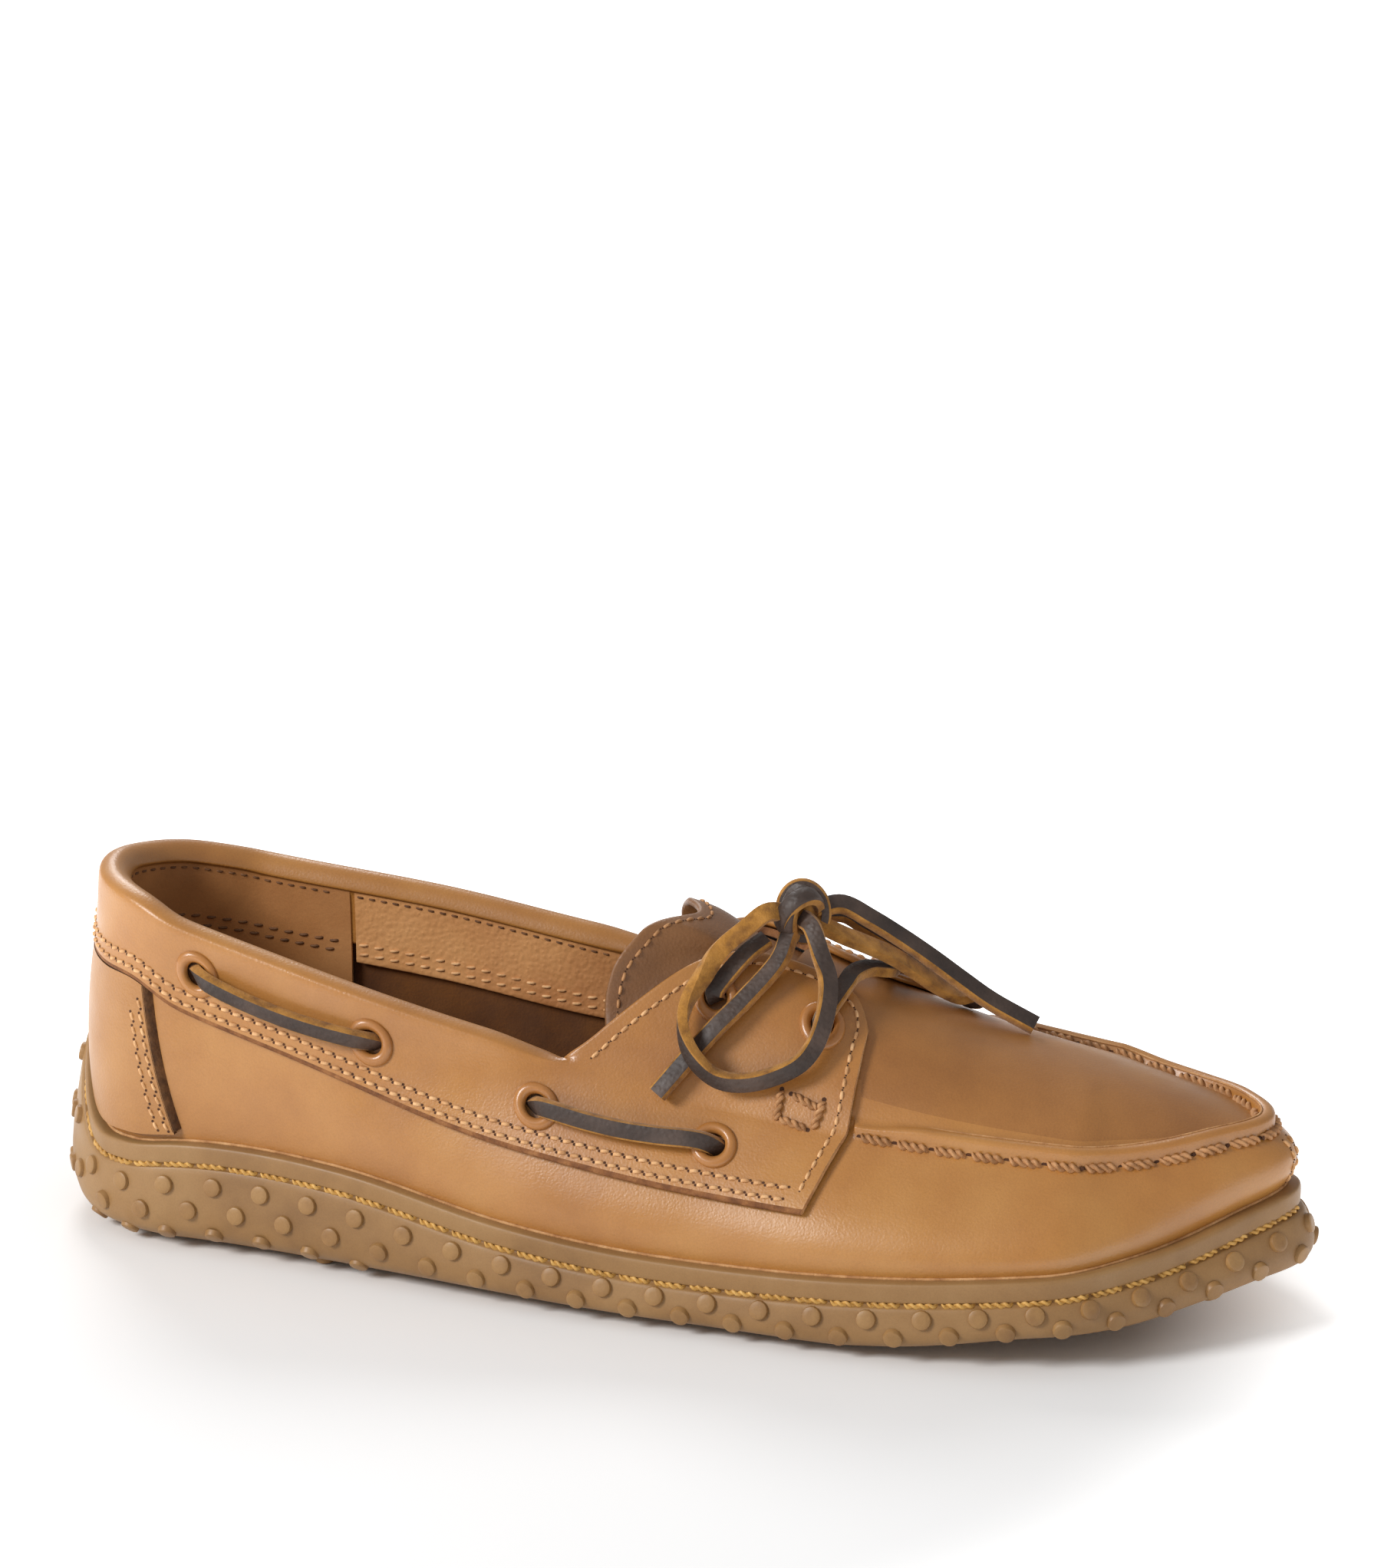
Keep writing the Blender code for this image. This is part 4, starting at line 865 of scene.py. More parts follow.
def band_rings(s):
    """Rows of the band's outer face and of its backing, from the lower edge up over the collar's roll or the
    wing.
    """
    low, edge = band_low(s), wing_edge(s)
    near, far = FACET_GAP, FACET_GAP + OVERLAY
    shares = np.array((0.02, 0.12, 0.28, 0.56, 0.83))
    rows = mix(low[:, None], 1, shares[None])
    leant = [wing_lean(s, rows[:, k]) for k in range(5)]
    outside = [off_skin(leant[k], rows[:, k], band_face(s, rows[:, k])) for k in range(5)]
    backing = [off_skin(leant[k], rows[:, k], near) for k in range(5)]
    wing = edge > 1.0005
    turn = COLLAR_TURN_IN * (1 - ramp(COLLAR_ROLL_END, WING_BACK, np.abs(s) - wing_shift(s)))
    depth = turn + 1
    fold = np.minimum(0.25 * depth, 2)
    top = skin(s, 1.0)
    out = normal(s, 1.0)
    out[:, 2] = 0
    out = unit(out)
    swell = band_face(s, np.ones_like(s))

    def at_top(r, z):
        r, z = (np.broadcast_to(q, s.shape)[:, None] for q in (r, z))
        return top + out * r + UP * z

    def inside(below, distance):
        rise = np.linalg.norm(skin(s, 1.0) - skin(s, 0.9), axis=-1) / 0.1
        return off_skin(s, 1 - below / rise, -UPPER_WALL - distance)

    flat = ramp(COLLAR_ROLL_END, WING_BACK, np.abs(s) - wing_shift(s))
    tall = ROLL_RISE * COLLAR_PAD * mix(1, 0.3, flat)
    roll = [at_top(swell, 0), at_top(0.75 * swell, 0.72 * tall), at_top(-UPPER_WALL / 2, tall + GAP),
            at_top(-UPPER_WALL - 0.62 * COLLAR_PAD, 0.5 * tall),
            at_top(-UPPER_WALL - 1.1 * COLLAR_PAD, -fold * 0.8),
            inside(np.minimum(ROLL_DEPTH, 0.6 * depth), far), inside(depth, far)]
    tucked = [at_top(near, -fold / 4), at_top(near, 0), at_top(near, near), at_top(-UPPER_WALL / 2, near),
              at_top(-UPPER_WALL - near, near), inside(fold, near), inside(depth, near)]
    wings = [mix(1.0, edge, share) for share in np.linspace(0, 1, 7)]
    wing_out = [off_skin(s, up, far) for up in wings]
    wing_back = [off_skin(s, up, near) for up in wings]
    outside += [np.where(wing[:, None], a, b) for a, b in zip(wing_out, roll)]
    backing += [np.where(wing[:, None], a, b) for a, b in zip(wing_back, tucked)]
    return np.stack(outside, 1), np.stack(backing, 1)


def collar_band():
    s = band_stations()
    outside, backing = band_rings(s)
    outside, backing = (soften(refine(q, 5, axis=1), 2, axis=1) for q in (outside, backing))
    outside, backing = (soften(q, BAND_SOFTENING, axis=0) for q in (outside, backing))
    away_top = unit(outside[:, -1] - outside[:, -3])
    away_low = unit(outside[:, 0] - outside[:, 2])
    head = half_round(outside[:, -1], backing[:, -1], away_top)
    foot = half_round(backing[:, 0], outside[:, 0], away_low)
    rings = np.concatenate([outside, head, backing[:, ::-1], foot], 1)
    n_out, n_edge = outside.shape[1], head.shape[1]
    marks = [1] + [0] * (n_out - 2) + [0] * (n_edge + 1) + [0] * (n_out - 1) + [1] * (n_edge + 1)
    return solid_from_rings("band", rings, [LEATHER, EDGE, PALE_EDGE], marks, smooth=60, cap=2)


# Heel counter and tongue

COUNTER_ROWS = 26


def counter_spots(share, rise):
    """Stations and heights on the heel piece, share -1 at its outer front edge and 1 at the inner one."""
    s = share * mix(COUNTER_FOOT, COUNTER_TOP, rise)
    return s, mix(RIM_SHARE + 0.03, band_low(s) - 0.006, rise)


def counter():
    share = np.concatenate([-np.linspace(0, 1, 44)[::-1], np.linspace(0, 1, 44)[1:]])
    s, up = counter_spots(share[:, None], np.linspace(0, 1, COUNTER_ROWS)[None])
    rings = np.concatenate([off_skin(s, up, GAP + OVERLAY), off_skin(s, up, GAP)[:, ::-1]], 1)
    marks = ([0] * (COUNTER_ROWS - 1) + [1]) * 2
    return solid_from_rings("heel_piece", rings, [COUNTER, DARK_EDGE], marks, smooth=50, cap=1)


def counter_edge(side):
    """Dark cut edge along the front of the heel piece."""
    s, up = counter_spots(side, np.linspace(0.02, 1, 60))
    section = ((-0.2, GAP + OVERLAY + 0.05), (0.4, GAP + 0.85 * OVERLAY), (0.9, GAP + 0.3), (1.2, 0.02),
               (-0.2, 0.02))
    ahead = across_line(s, up, side)
    rings = np.stack([off_skin(s, up, off) + ahead * forward for forward, off in section], 1)
    return solid_from_rings(f"heel_edge_{SIDE_WORDS[side]}", rings, [DARK_EDGE], smooth=50)


TONGUE_ROUND = 0.025


def tongue_grid(count=60, rows=60):
    across = np.concatenate([np.linspace(1.12, 2, count), np.linspace(2, 1.12, count)[1:]])
    side = np.concatenate([-np.ones(count), np.ones(count - 1)])
    shift = wing_shift(side)
    rear = curve(TONGUE_REAR, "at", across, key="across") + shift * (2 - across)
    rear += TONGUE_ROUND * ramp(1.6, 2.0, across)
    low, high = np.full_like(across, WING["at"][0]), np.full_like(across, WING["at"][7])
    goal = np.minimum(across, WING["edge"][7])
    for _ in range(30):
        middle = (low + high) / 2
        under = curve(WING, "edge", middle) < goal
        low, high = np.where(under, middle, low), np.where(under, high, middle)
    behind = np.minimum(low + shift, THROAT - 0.03)
    share = np.linspace(0, 1, rows)
    at = mix(TONGUE_FRONT, rear[:, None], share[None] ** 0.8)
    flare = ramp(0.015, 0.09, behind[:, None] - at)
    lifted = np.where(side > 0, 0.2, 1.0)
    depth = mix(UPPER_WALL + 2 * GAP, -TONGUE_FLARE * (lifted * ramp(2.0, 1.3, across))[:, None], flare)
    s, up = at * side[:, None], np.broadcast_to(across[:, None], at.shape)
    return off_skin(s, up, -depth), off_skin(s, up, -depth - TONGUE_WALL)


def tongue():
    top, under = tongue_grid()
    top, under = (soften(soften(q, 4, axis=1), 4, axis=0) for q in (top, under))
    away = unit(top[:, -1] - top[:, -3])
    head = half_round(top[:, -1], under[:, -1], away)
    rings = np.concatenate([top, head, under[:, ::-1]], 1)
    return solid_from_rings("tongue_piece", rings, [TONGUE], smooth=70)


# Footbed

def footbed():
    one = np.concatenate([np.linspace(0, 1, 40), np.linspace(1, 2, 70)[1:], np.linspace(2, 3, 40)[1:]])
    s = np.concatenate([-one[::-1], one[1:-1]])
    at, side = split(s)
    r = leather_foot(at, side)[0] - FEATHER_TUCK - UPPER_WALL - INSOLE_GAP
    rows = []
    section = ((0.04, 0), (0.5, 0), (0.95, 0), (1.0, 0.25), (1.0, 0.8), (0.96, 1), (0.8, 0.95), (0.5, 0.9),
               (0.04, 0.9))
    for share, rise in section:
        z = floor_height(at, side, share) + GAP + rise * INSOLE_THICKNESS
        rows.append(place(at, side, r * share, z))
    points = refine(np.stack(rows, 1), 3, axis=1)
    n, m = points.shape[:2]
    return mesh_object("footbed", points.reshape(-1, 3), cup_faces(n, m), [SUEDE], smooth=60)


# Eyelets

def eyelet_spot(i, side):
    at = EYELETS["at"][i]
    at += MEDIAL_WING_SHIFT * (side > 0 and at > WING_BACK)
    return side * at, EYELETS["lateral" if side < 0 else "medial"][i]


EYELET_LIFT = 0.25


def eyelet(name, s, up):
    step = 0.01
    per_s = np.linalg.norm(skin(s + step, up) - skin(s - step, up)) / (2 * step)
    per_up = np.linalg.norm(skin(s, up + step) - skin(s, up - step)) / (2 * step)
    half, hole, tall = EYELET_WIDTH / 2, EYELET_HOLE / 2, EYELET_HEIGHT
    profile = ((half, -0.3), (half, 0.15), (half - 0.25, 0.5), (half - 0.9, 0.85), (half - 1.6, 0.8),
               (hole + 0.35, 0.55), (hole, 0.2), (hole - 0.05, -0.6), (hole + 0.3, -0.7), (hole + 0.5, -0.3))
    angles = 2 * pi * np.arange(36) / 36
    rings = []
    for r, rise in profile:
        spot_s, spot_up = s + r * np.cos(angles) / per_s, up + r * np.sin(angles) / per_up
        rings.append(off_skin(spot_s, spot_up, band_face(spot_s, spot_up) + EYELET_LIFT + rise * tall))
    return solid_from_rings(name, np.stack(rings, 1), [PAINT], closed=True, smooth=50)


# Stitches

TWIST = 0.9
STITCH_SINK = 1.6
PLY_OFFSET = 0.45
PLY_THICKNESS = 0.62


def stitch_row(path, out, pitch, length, radius, slant=0.0, lift_off=0.1, plies=1, start=0.5):
    """Points and faces of stitches along a path whose outward directions are given."""
    marks = lengths(path)
    count = max(int((marks[-1] - pitch * start) / pitch), 1)
    points, faces, ends = [], [], []
    sides, rings = 6, 7 if plies == 1 else 33
    angles = 2 * pi * np.arange(sides) / sides
    for k in range(count):
        spot = pitch * (k + start)
        middle, n = read_off(spot, marks, path), unit(read_off(spot, marks, out))
        t = unit(read_off(spot + 0.3, marks, path) - middle)
        b = np.cross(n, t)
        t, b = t * cos(slant) + b * sin(slant), b * cos(slant) - t * sin(slant)
        for ply in range(plies):
            start_index = sum(len(p) for p in points)
            for u in np.linspace(-1, 1, rings):
                bow = 1 - abs(u) ** (3 * plies)
                centre = middle + t * u * length / 2 + n * (lift_off + (bow - 1) * STITCH_SINK * radius)
                if plies == 2:
                    phase = pi * ply + u * length * TWIST
                    centre = centre + (b * cos(phase) + n * sin(phase)) * radius * PLY_OFFSET
                taper = 0.35 + 0.65 * (1 - abs(u) ** (4 * plies))
                thick = radius * (PLY_THICKNESS if plies == 2 else 1) * taper
                points.append(centre + (b * np.cos(angles)[:, None] + n * np.sin(angles)[:, None]) * thick)
            faces += [tuple(f) for f in grid_faces(rings, sides, start_index, wrap_columns=True)]
            faces += [tuple(start_index + np.arange(sides)[::-1]),
                      tuple(start_index + (rings - 1) * sides + np.arange(sides))]
        ends += [(middle + t * e * length / 2, n) for e in (-1, 1)]
    return np.concatenate(points), faces, ends


DRAPE_REACH = 4


def drape(path, out, tree):
    """The line moved onto a piece along its outward directions, with the piece's own normals."""
    spots, turned = [], []
    for point, n in zip(path, out):
        start = Vector(to_part(point + n * DRAPE_REACH))
        hit, face_out, _, _ = tree.ray_cast(start, Vector(-n), 2 * DRAPE_REACH * MM)
        if hit is not None:
            spots.append(np.array(hit) / MM - ORIGIN)
            turned.append(np.array(face_out) + n)
    return np.array(spots), unit(np.array(turned))


def stitches(name, rows, paint, base, hole=0.3, **how):
    """One piece with rows of stitches on a base, each row (path, outward directions), and dark discs of
    painted shade at their holes.
    """
    tree = BVHTree.FromPolygons([v.co for v in base.data.vertices], [f.vertices for f in base.data.polygons])
    points, faces, ends = [], [], []
    for path, out in rows:
        path, out = drape(path, out, tree)
        row_points, row_faces, row_ends = stitch_row(path, out, **how)
        start = sum(len(p) for p in points)
        points.append(row_points)
        faces += [tuple(np.array(f) + start) for f in row_faces]
        ends += row_ends
    made = [mesh_object(name, np.concatenate(points), faces, [paint], smooth=80, weld=0.0001)]
    # Dark discs at the stitch ends, painted shade of the holes that the thread goes into.
    if hole:
        profile = ((0.6 * hole, -0.3), (hole, 0.06))
        made.append(studs(name + "_hole_painted_shade", ends, profile, 8, HOLE_SHADE, smooth=30, weld=0.0001))
    return made


# Lace

def strap(name, path, out):
    """Flat lace along a path; out is the direction that its grain face looks."""
    t = unit(np.gradient(path, axis=0))
    out = unit(out - t * np.sum(out * t, axis=1, keepdims=True))
    across = np.cross(t, out)
    w, h, soft = LACE_WIDTH / 2, LACE_THICKNESS / 2, 0.45
    section = ((-w + soft, -h), (-w + 0.1, -h + 0.12), (-w, -h + soft), (-w, h - soft), (-w + 0.12, h - 0.1),
               (-w + soft, h), (0, h + 0.08), (w - soft, h), (w - 0.12, h - 0.1), (w, h - soft),
               (w, -h + soft), (w - 0.1, -h + 0.12), (w - soft, -h), (0, -h))
    rings = np.stack([path + across * a + out * b for a, b in section], 1)
    marks = [1] * 4 + [0] * 3 + [1] * 7
    return solid_from_rings(name, rings, [RAWHIDE, LACE_SUEDE], marks, smooth=50, cap=1)


LACE_STEP = 0.8


def smooth_path(knots):
    fine = refine(np.asarray(knots, float), 16)
    return resample(fine, max(int(lengths(fine)[-1] / LACE_STEP), 8))


BAR_TILT = 0.5


def side_bar(side, run):
    """Lace from one eyelet to the next: up out of the first hole, along, and down into the second."""
    first = 0 if run == 1 else 2
    (s0, u0), (s1, u1) = eyelet_spot(first, side), eyelet_spot(first + 1, side)
    shares = np.array((-0.03, 0.0, 0.05, 0.13, 0.3, 0.5, 0.7, 0.87, 0.95, 1.0, 1.03))
    rises = np.array((-2.6, -0.6, 1.6, 2.7, 2.9, 2.9, 2.9, 2.7, 1.6, -0.6, -2.6))
    s, up = mix(s0, s1, shares), mix(u0, u1, shares) - 0.03 * np.sin(pi * np.clip(shares, 0, 1))
    centre = off_skin(s, up, band_face(s, up) + rises)
    path = smooth_path(centre)
    spread = np.linspace(0, 1, len(path))
    out = normal(mix(s0, s1, spread), mix(u0, u1, spread)) - np.array((0, 0, BAR_TILT))
    return strap(f"lace_bar_{SIDE_WORDS[side]}_{run}", path, out)


def crossing_strap(name):
    """Lace across the instep, with its ends led down into the wing's eyelets."""
    sides, stations, ups, offs = np.array(LACE_CROSSINGS[name]).T
    knots, out = off_skin(sides * stations, ups, offs), normal(sides * stations, ups)
    first = "wing_2" if name == "lace_bar_front" else "wing_1"
    ends = [(0, -1)] if name != "lace_riser_far" else [(0, 1)]
    if name == "lace_bar_front":
        ends.append((-1, 1))
    for where, side in ends:
        s, up = eyelet_spot(EYELETS["name"].index(first), side)
        seat = off_skin(s, up, band_face(s, up) - 0.8)[None]
        above = off_skin(s, up + 0.03, band_face(s, up) + 1.2)[None]
        n = normal(s, up)[None]
        if where == 0:
            knots, out = np.concatenate([seat, above, knots[1:]]), np.concatenate([n, n, out[1:]])
        else:
            knots, out = np.concatenate([knots[:-1], above, seat]), np.concatenate([out[:-1], n, n])
    fine, fine_out = refine(knots, 12), refine(out, 12)
    path, turned = resample(fine, max(int(lengths(fine)[-1] / LACE_STEP), 8), fine_out)
    return strap(name.replace("lace", "run"), path, turned)


KNOT_REACH = 0.6


def free_lace(name, outs, far_end):
    """A loop or end of the bow: path through the route's points, grain turned as outs say at even places."""
    knots = np.array(LACE_ROUTES[name], float)
    inner = knots + (np.array(KNOT_MIDDLE) - knots) * KNOT_REACH
    path = smooth_path(np.concatenate([inner[:1], knots, inner[-1:] if far_end == "object" else knots[:0]]))
    places = np.linspace(0, 1, len(outs))
    spread = np.linspace(0, 1, len(path))
    out = read_off(spread, places, np.array(outs, float))
    piece = strap(name.replace("lace_", "bow_"), path, out)
    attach(piece, "root")
    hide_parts(name)
    return piece


# Shift, radii and tilt of each turn of the knot, and whether its flesh side looks out
KNOT_TURNS = (
    ((0.2, -0.6, 0), (4.0, 5.2), (0.2, 0.1, 1.25), False),
    ((0.6, -0.9, 0.2), (4.2, 5.3), (0.5, 0.3, 0.8), False),
    ((0.8, 1.2, 0.0), (4.6, 5.7), (-0.2, -0.2, 0.3), True),
)


KNOT_LACE_HALF = 0.95
KNOT_STEPS = 48


def knot():
    """Three turns of the lace round the middle of the bow."""
    middle = np.array(KNOT_MIDDLE)
    made = []
    for i, (shift, radii, tilt, suede_out) in enumerate(KNOT_TURNS):
        angles = 2 * pi * np.arange(KNOT_STEPS) / KNOT_STEPS
        out = np.stack([np.cos(angles), 0 * angles, np.sin(angles)], 1)
        ring = out * (radii[0], 0, radii[1])
        about_x, about_y, about_z = (Matrix.Rotation(angle, 3, axis) for angle, axis in zip(tilt, "XYZ"))
        turn = np.array(about_x @ about_y @ about_z)
        turned = ring @ turn.T + middle + shift
        made.append(strap_ring(f"knot_turn_{i + 1}", turned, out @ turn.T, suede_out))
    return made


def strap_ring(name, path, out, suede_out):
    """Closed turn of lace, its grain or its flesh side outwards."""
    t = unit(np.roll(path, -1, axis=0) - np.roll(path, 1, axis=0))
    across = np.cross(t, out)
    w, h, soft = LACE_WIDTH / 2, KNOT_LACE_HALF, 0.4
    section = ((-w, -h), (-w, h - soft), (-w + soft, h), (0, h + 0.1), (w - soft, h), (w, h - soft), (w, -h))
    rings = np.stack([path + across * a + out * b for a, b in section], 1)
    paints = [LACE_SUEDE, RAWHIDE] if suede_out else [RAWHIDE, LACE_SUEDE]
    return solid_from_rings(name, rings, paints, [1, 0, 0, 0, 0, 1, 1], closed=True, smooth=50)


# Places on the leather, for seams

def per_unit(s, up):
    """Millimetres to a unit of s and of up, and the two directions."""
    step = 0.01
    along = (skin(s + step, up) - skin(s - step, up)) / (2 * step)
    high, low = np.minimum(up + step, 1.999), np.maximum(up - step, 0)
    rise = (skin(s, high) - skin(s, low)) / (high - low)[..., None]
    sizes = [np.linalg.norm(q, axis=-1) for q in (along, rise)]
    return sizes, (along / sizes[0][:, None], rise / sizes[1][:, None])


def across_line(s, up, turn):
    """Directions on the skin at right angles to a line on it."""
    return unit(np.cross(normal(s, up), unit(np.gradient(skin(s, up), axis=0)))) * turn


def inset_line(s, up, distance, turn):
    """A line on the skin moved sideways by a distance; turn is 1 or -1 for the side that it moves to."""
    path = skin(s, up)
    t = unit(np.gradient(path, axis=0))
    b = np.cross(normal(s, up), t) * turn * distance
    sizes, (along, rise) = per_unit(s, up)
    return s + np.sum(b * along, axis=1) / sizes[0], up + np.sum(b * rise, axis=1) / sizes[1]


def wing_outline(side):
    """The wing's edge from its back foot over its top and down its front, as dense stations and heights."""
    shift = wing_shift(side)
    at = np.concatenate([np.array(WING["at"]) + shift, np.full(9, WING_FRONT + shift)])
    low = float(band_low(side * (WING_FRONT + shift)))
    up = np.concatenate([WING["edge"], np.linspace(WING["edge"][-1], low, 10)[1:]])
    at = np.abs(wing_lean(side * at, up))
    return refine(np.stack([at, up], 1), 12)


def wing_row(side, distance, start=0.0, end=1.0):
    line = wing_outline(side)
    s, up = side * line[:, 0], line[:, 1]
    s, up = inset_line(s, up, distance, side)
    marks = np.linspace(0, 1, len(s))
    keep = (marks >= start) & (marks <= end)
    s, up = s[keep], np.minimum(up[keep], 1.99)
    return off_skin(s, up, FACET_GAP + OVERLAY), normal(s, up)


def band_row(distance):
    """Line round the band at a distance above its lower edge."""
    s = band_stations()[3:-3]
    s = s[(s > -WING_FRONT + 0.02) & (s < WING_FRONT + MEDIAL_WING_SHIFT - 0.02)]
    low = band_low(s)
    sizes, _ = per_unit(s, low + 0.02)
    up = low + distance / sizes[1]
    s = wing_lean(s, up)
    return refine(off_skin(s, up, band_face(s, up)), 2), refine(normal(s, up), 2)


def counter_row(side, distance):
    s, up = counter_spots(side, np.linspace(0.02, 0.98, 40))
    return off_skin(s, up, GAP + OVERLAY) - across_line(s, up, side) * distance, normal(s, up)


INNER_SEAM_START = 2.7


def round_toe(start, end, count):
    """Signed stations from the outer side round the toe's tip to the inner side."""
    return np.concatenate([np.linspace(start, -3, count), np.linspace(3, end, count)[1:]])


def outward(s):
    """Level directions out from the apron."""
    return unit(skin(s, 1.0) * (1, 1, 0) - skin(s, 1.3) * (1, 1, 0))


def moc_row(inner):
    """Line along the foot of the moc ridge, round the toe to the inner wing, or behind the ridge."""
    start = -INNER_SEAM_START if inner else -RIDGE_START - 0.004
    s = round_toe(start, RIDGE_START + 0.034, 160)
    at, side = split(s)
    r_top = shoulder(at, side)[0]
    level = outward(s)
    if inner:
        foot = 1 + (RIDGE_WIDTH + 0.1) / r_top
        return skin(s, foot) + UP * 0.35, unit(UP * 0.8 - level * 0.6)
    return skin(s, 0.999) + level * 0.12 + UP * 0.1, unit(level + UP * 0.25)


def glue_line():
    """Thin pale bead where the leather comes out of the rubber rim."""
    s = sole_stations()
    at, side = split(s)
    r, z = leather_foot(at, side)
    angles = 2 * pi * np.arange(6) / 6
    rings = np.stack([place(at, side, r + 0.2 + 0.42 * cos(a), z + 0.05 + 0.36 * sin(a)) for a in angles], 1)
    return solid_from_rings("glue_line", rings, [PALE_EDGE], closed=True, smooth=80)


def groove_row():
    s = sole_stations()
    s = np.concatenate([s, s[:1] + 6])
    at, side = split(s)
    z = rim_top(at) - RIM_BAND
    along = unit(rim_line(s + 0.01, 0) - rim_line(s - 0.01, 0))
    out = np.stack([-along[:, 1], along[:, 0], np.zeros(len(s))], 1)
    point = place(at, side, rim_reach(at, side) - 0.35, z)
    return point, out


def toe_rows(distance):
    """Two rows down the toe's tip, a distance either side of its upright seam."""
    up = np.linspace(RIM_SHARE + 0.05, 0.97, 40)
    rows = []
    for turn in (-1, 1):
        s = np.full_like(up, -3.0)
        s, up_moved = inset_line(s, up, distance, turn)
        rows.append((off_skin(s, up_moved, 0.0), normal(s, up_moved)))
    return rows


def ridge_edge():
    """Thin pale cut edge along the inner top of the moc ridge."""
    s = round_toe(-RIDGE_START - 0.02, RIDGE_START + 0.05, 200)
    at, side = split(s)
    across = 0.82 * RIDGE_WIDTH / shoulder(at, side)[0]
    line = skin(s, 1 + across)
    line[:, 2] = skin(s, 1.0)[:, 2] + 0.94 * ridge_height(at, side)
    angles = 2 * pi * np.arange(5) / 5
    out = outward(s)
    rings = np.stack([line + out * 0.22 * cos(a) + UP * 0.22 * sin(a) for a in angles], 1)
    return solid_from_rings("ridge_edge", rings, [PALE_EDGE], smooth=80)


def tongue_row(distance):
    top, _ = tongue_grid()
    path, out = [], []
    grid_out = unit(np.cross(np.gradient(top, axis=0), np.gradient(top, axis=1)))
    grid_out *= np.sign(grid_out[..., 2:3])
    for column, normals in zip(top, grid_out):
        marks = lengths(column)
        spot = marks[-1] - distance
        path.append(read_off(spot, marks, column))
        out.append(read_off(spot, marks, normals))
    return np.array(path)[3:-3] + unit(np.array(out))[3:-3] * 0.1, unit(np.array(out))[3:-3]


def bartack():
    """Corners of the square of thick stitches on the outer wing, just above its front foot."""
    corners = np.array(((1.687, 0.985), (1.727, 0.955), (1.733, 1.06), (1.688, 1.10), (1.687, 0.985)))
    s, up = -corners[:, 0], corners[:, 1]
    rows = []
    for a, b in zip(range(4), range(1, 5)):
        share = np.linspace(0, 1, 12)
        line_s, line_up = mix(s[a], s[b], share), mix(up[a], up[b], share)
        rows.append((off_skin(line_s, line_up, FACET_GAP + OVERLAY), normal(line_s, line_up)))
    return rows


# Lining

HEEL_LINING_END = 1.10
LINING_DEPTH = 17.0
LINING_WALL = 0.9
LINING_OFF = UPPER_WALL + FACET_GAP + OVERLAY + 0.3


def inside_collar(s, below, off):
    """Point inside the collar, below its top and off the shell's inner face, and the way it faces."""
    rise = np.linalg.norm(skin(s, 1.0) - skin(s, 0.9), axis=-1) / 0.1
    up = np.clip(1 - below / rise, 0.05, 1)
    return off_skin(s, up, -off), -normal(s, up)


def lining(name, start, end, depth, paint, off):
    """Sheet inside the collar from under the roll down to a depth."""
    s = np.linspace(start, end, max(int(abs(end - start) * 90), 12))
    below = np.linspace(ROLL_DEPTH - LINING_WALL, depth, 26)
    face, back = (np.stack([inside_collar(s, d, far)[0] for d in below], 1)
                  for far in (off, off - LINING_WALL))
    rings = np.concatenate([face, half_round(face[:, -1], back[:, -1], -UP, 3), back[:, ::-1]], 1)
    return solid_from_rings(name, rings, [paint], smooth=60)


def lining_row(start, end, depth, off):
    return inside_collar(np.linspace(start, end, 200), depth, off)


# Real holes under the eyelets

HOLE_RADIUS = EYELET_HOLE / 2 + 0.25
HOLE_DEPTH = 3.3


def pierce(band):
    """Cuts the band's eyelet holes with one cutter."""
    bm = bmesh.new()
    for side in (-1, 1):
        for i in range(len(EYELETS["name"])):
            s, up = eyelet_spot(i, side)
            point, out = off_skin(s, up, band_face(s, up)), normal(s, up)
            turn = Vector(out).to_track_quat("Z", "Y").to_matrix().to_4x4()
            bmesh.ops.create_cone(bm, cap_ends=True, segments=24, radius1=HOLE_RADIUS * MM,
                                  radius2=HOLE_RADIUS * MM, depth=HOLE_DEPTH * MM,
                                  matrix=Matrix.Translation(to_part(point)) @ turn)
    mesh = bpy.data.meshes.new("cutter")
    bm.to_mesh(mesh)
    bm.free()
    mesh.materials.append(EDGE)
    cutter = bpy.data.objects.new("cutter", mesh)
    bpy.context.scene.collection.objects.link(cutter)
    cut = band.modifiers.new("holes", "BOOLEAN")
    cut.operation, cut.solver, cut.object = "DIFFERENCE", "EXACT", cutter
    bpy.context.view_layer.update()
    holed = bpy.data.meshes.new_from_object(band.evaluated_get(bpy.context.evaluated_depsgraph_get()))
    band.modifiers.clear()
    band.data = holed
    bpy.data.objects.remove(cutter, do_unlink=True)
    return band


# Camera, light and floor

CAMERA_SPOT = np.array((291.956, -910.215, 383.991))
CAMERA_AZIMUTH = 17.5
CAMERA_ELEVATION = 16.5
PHOTO_HEIGHT = 2044
FOCAL_PIXELS = 6450


FAR_CLIP = 50


def camera():
    lens = bpy.data.cameras.new("camera")
    lens.sensor_width = 36
    lens.lens = FOCAL_PIXELS * 36 / PHOTO_HEIGHT
    lens.clip_end = FAR_CLIP
    eye = bpy.data.objects.new("camera", lens)
    eye.location = to_part(CAMERA_SPOT)
    eye.rotation_euler = (radians(90 - CAMERA_ELEVATION), 0, radians(CAMERA_AZIMUTH))
    bpy.context.scene.collection.objects.link(eye)
    bpy.context.scene.camera = eye


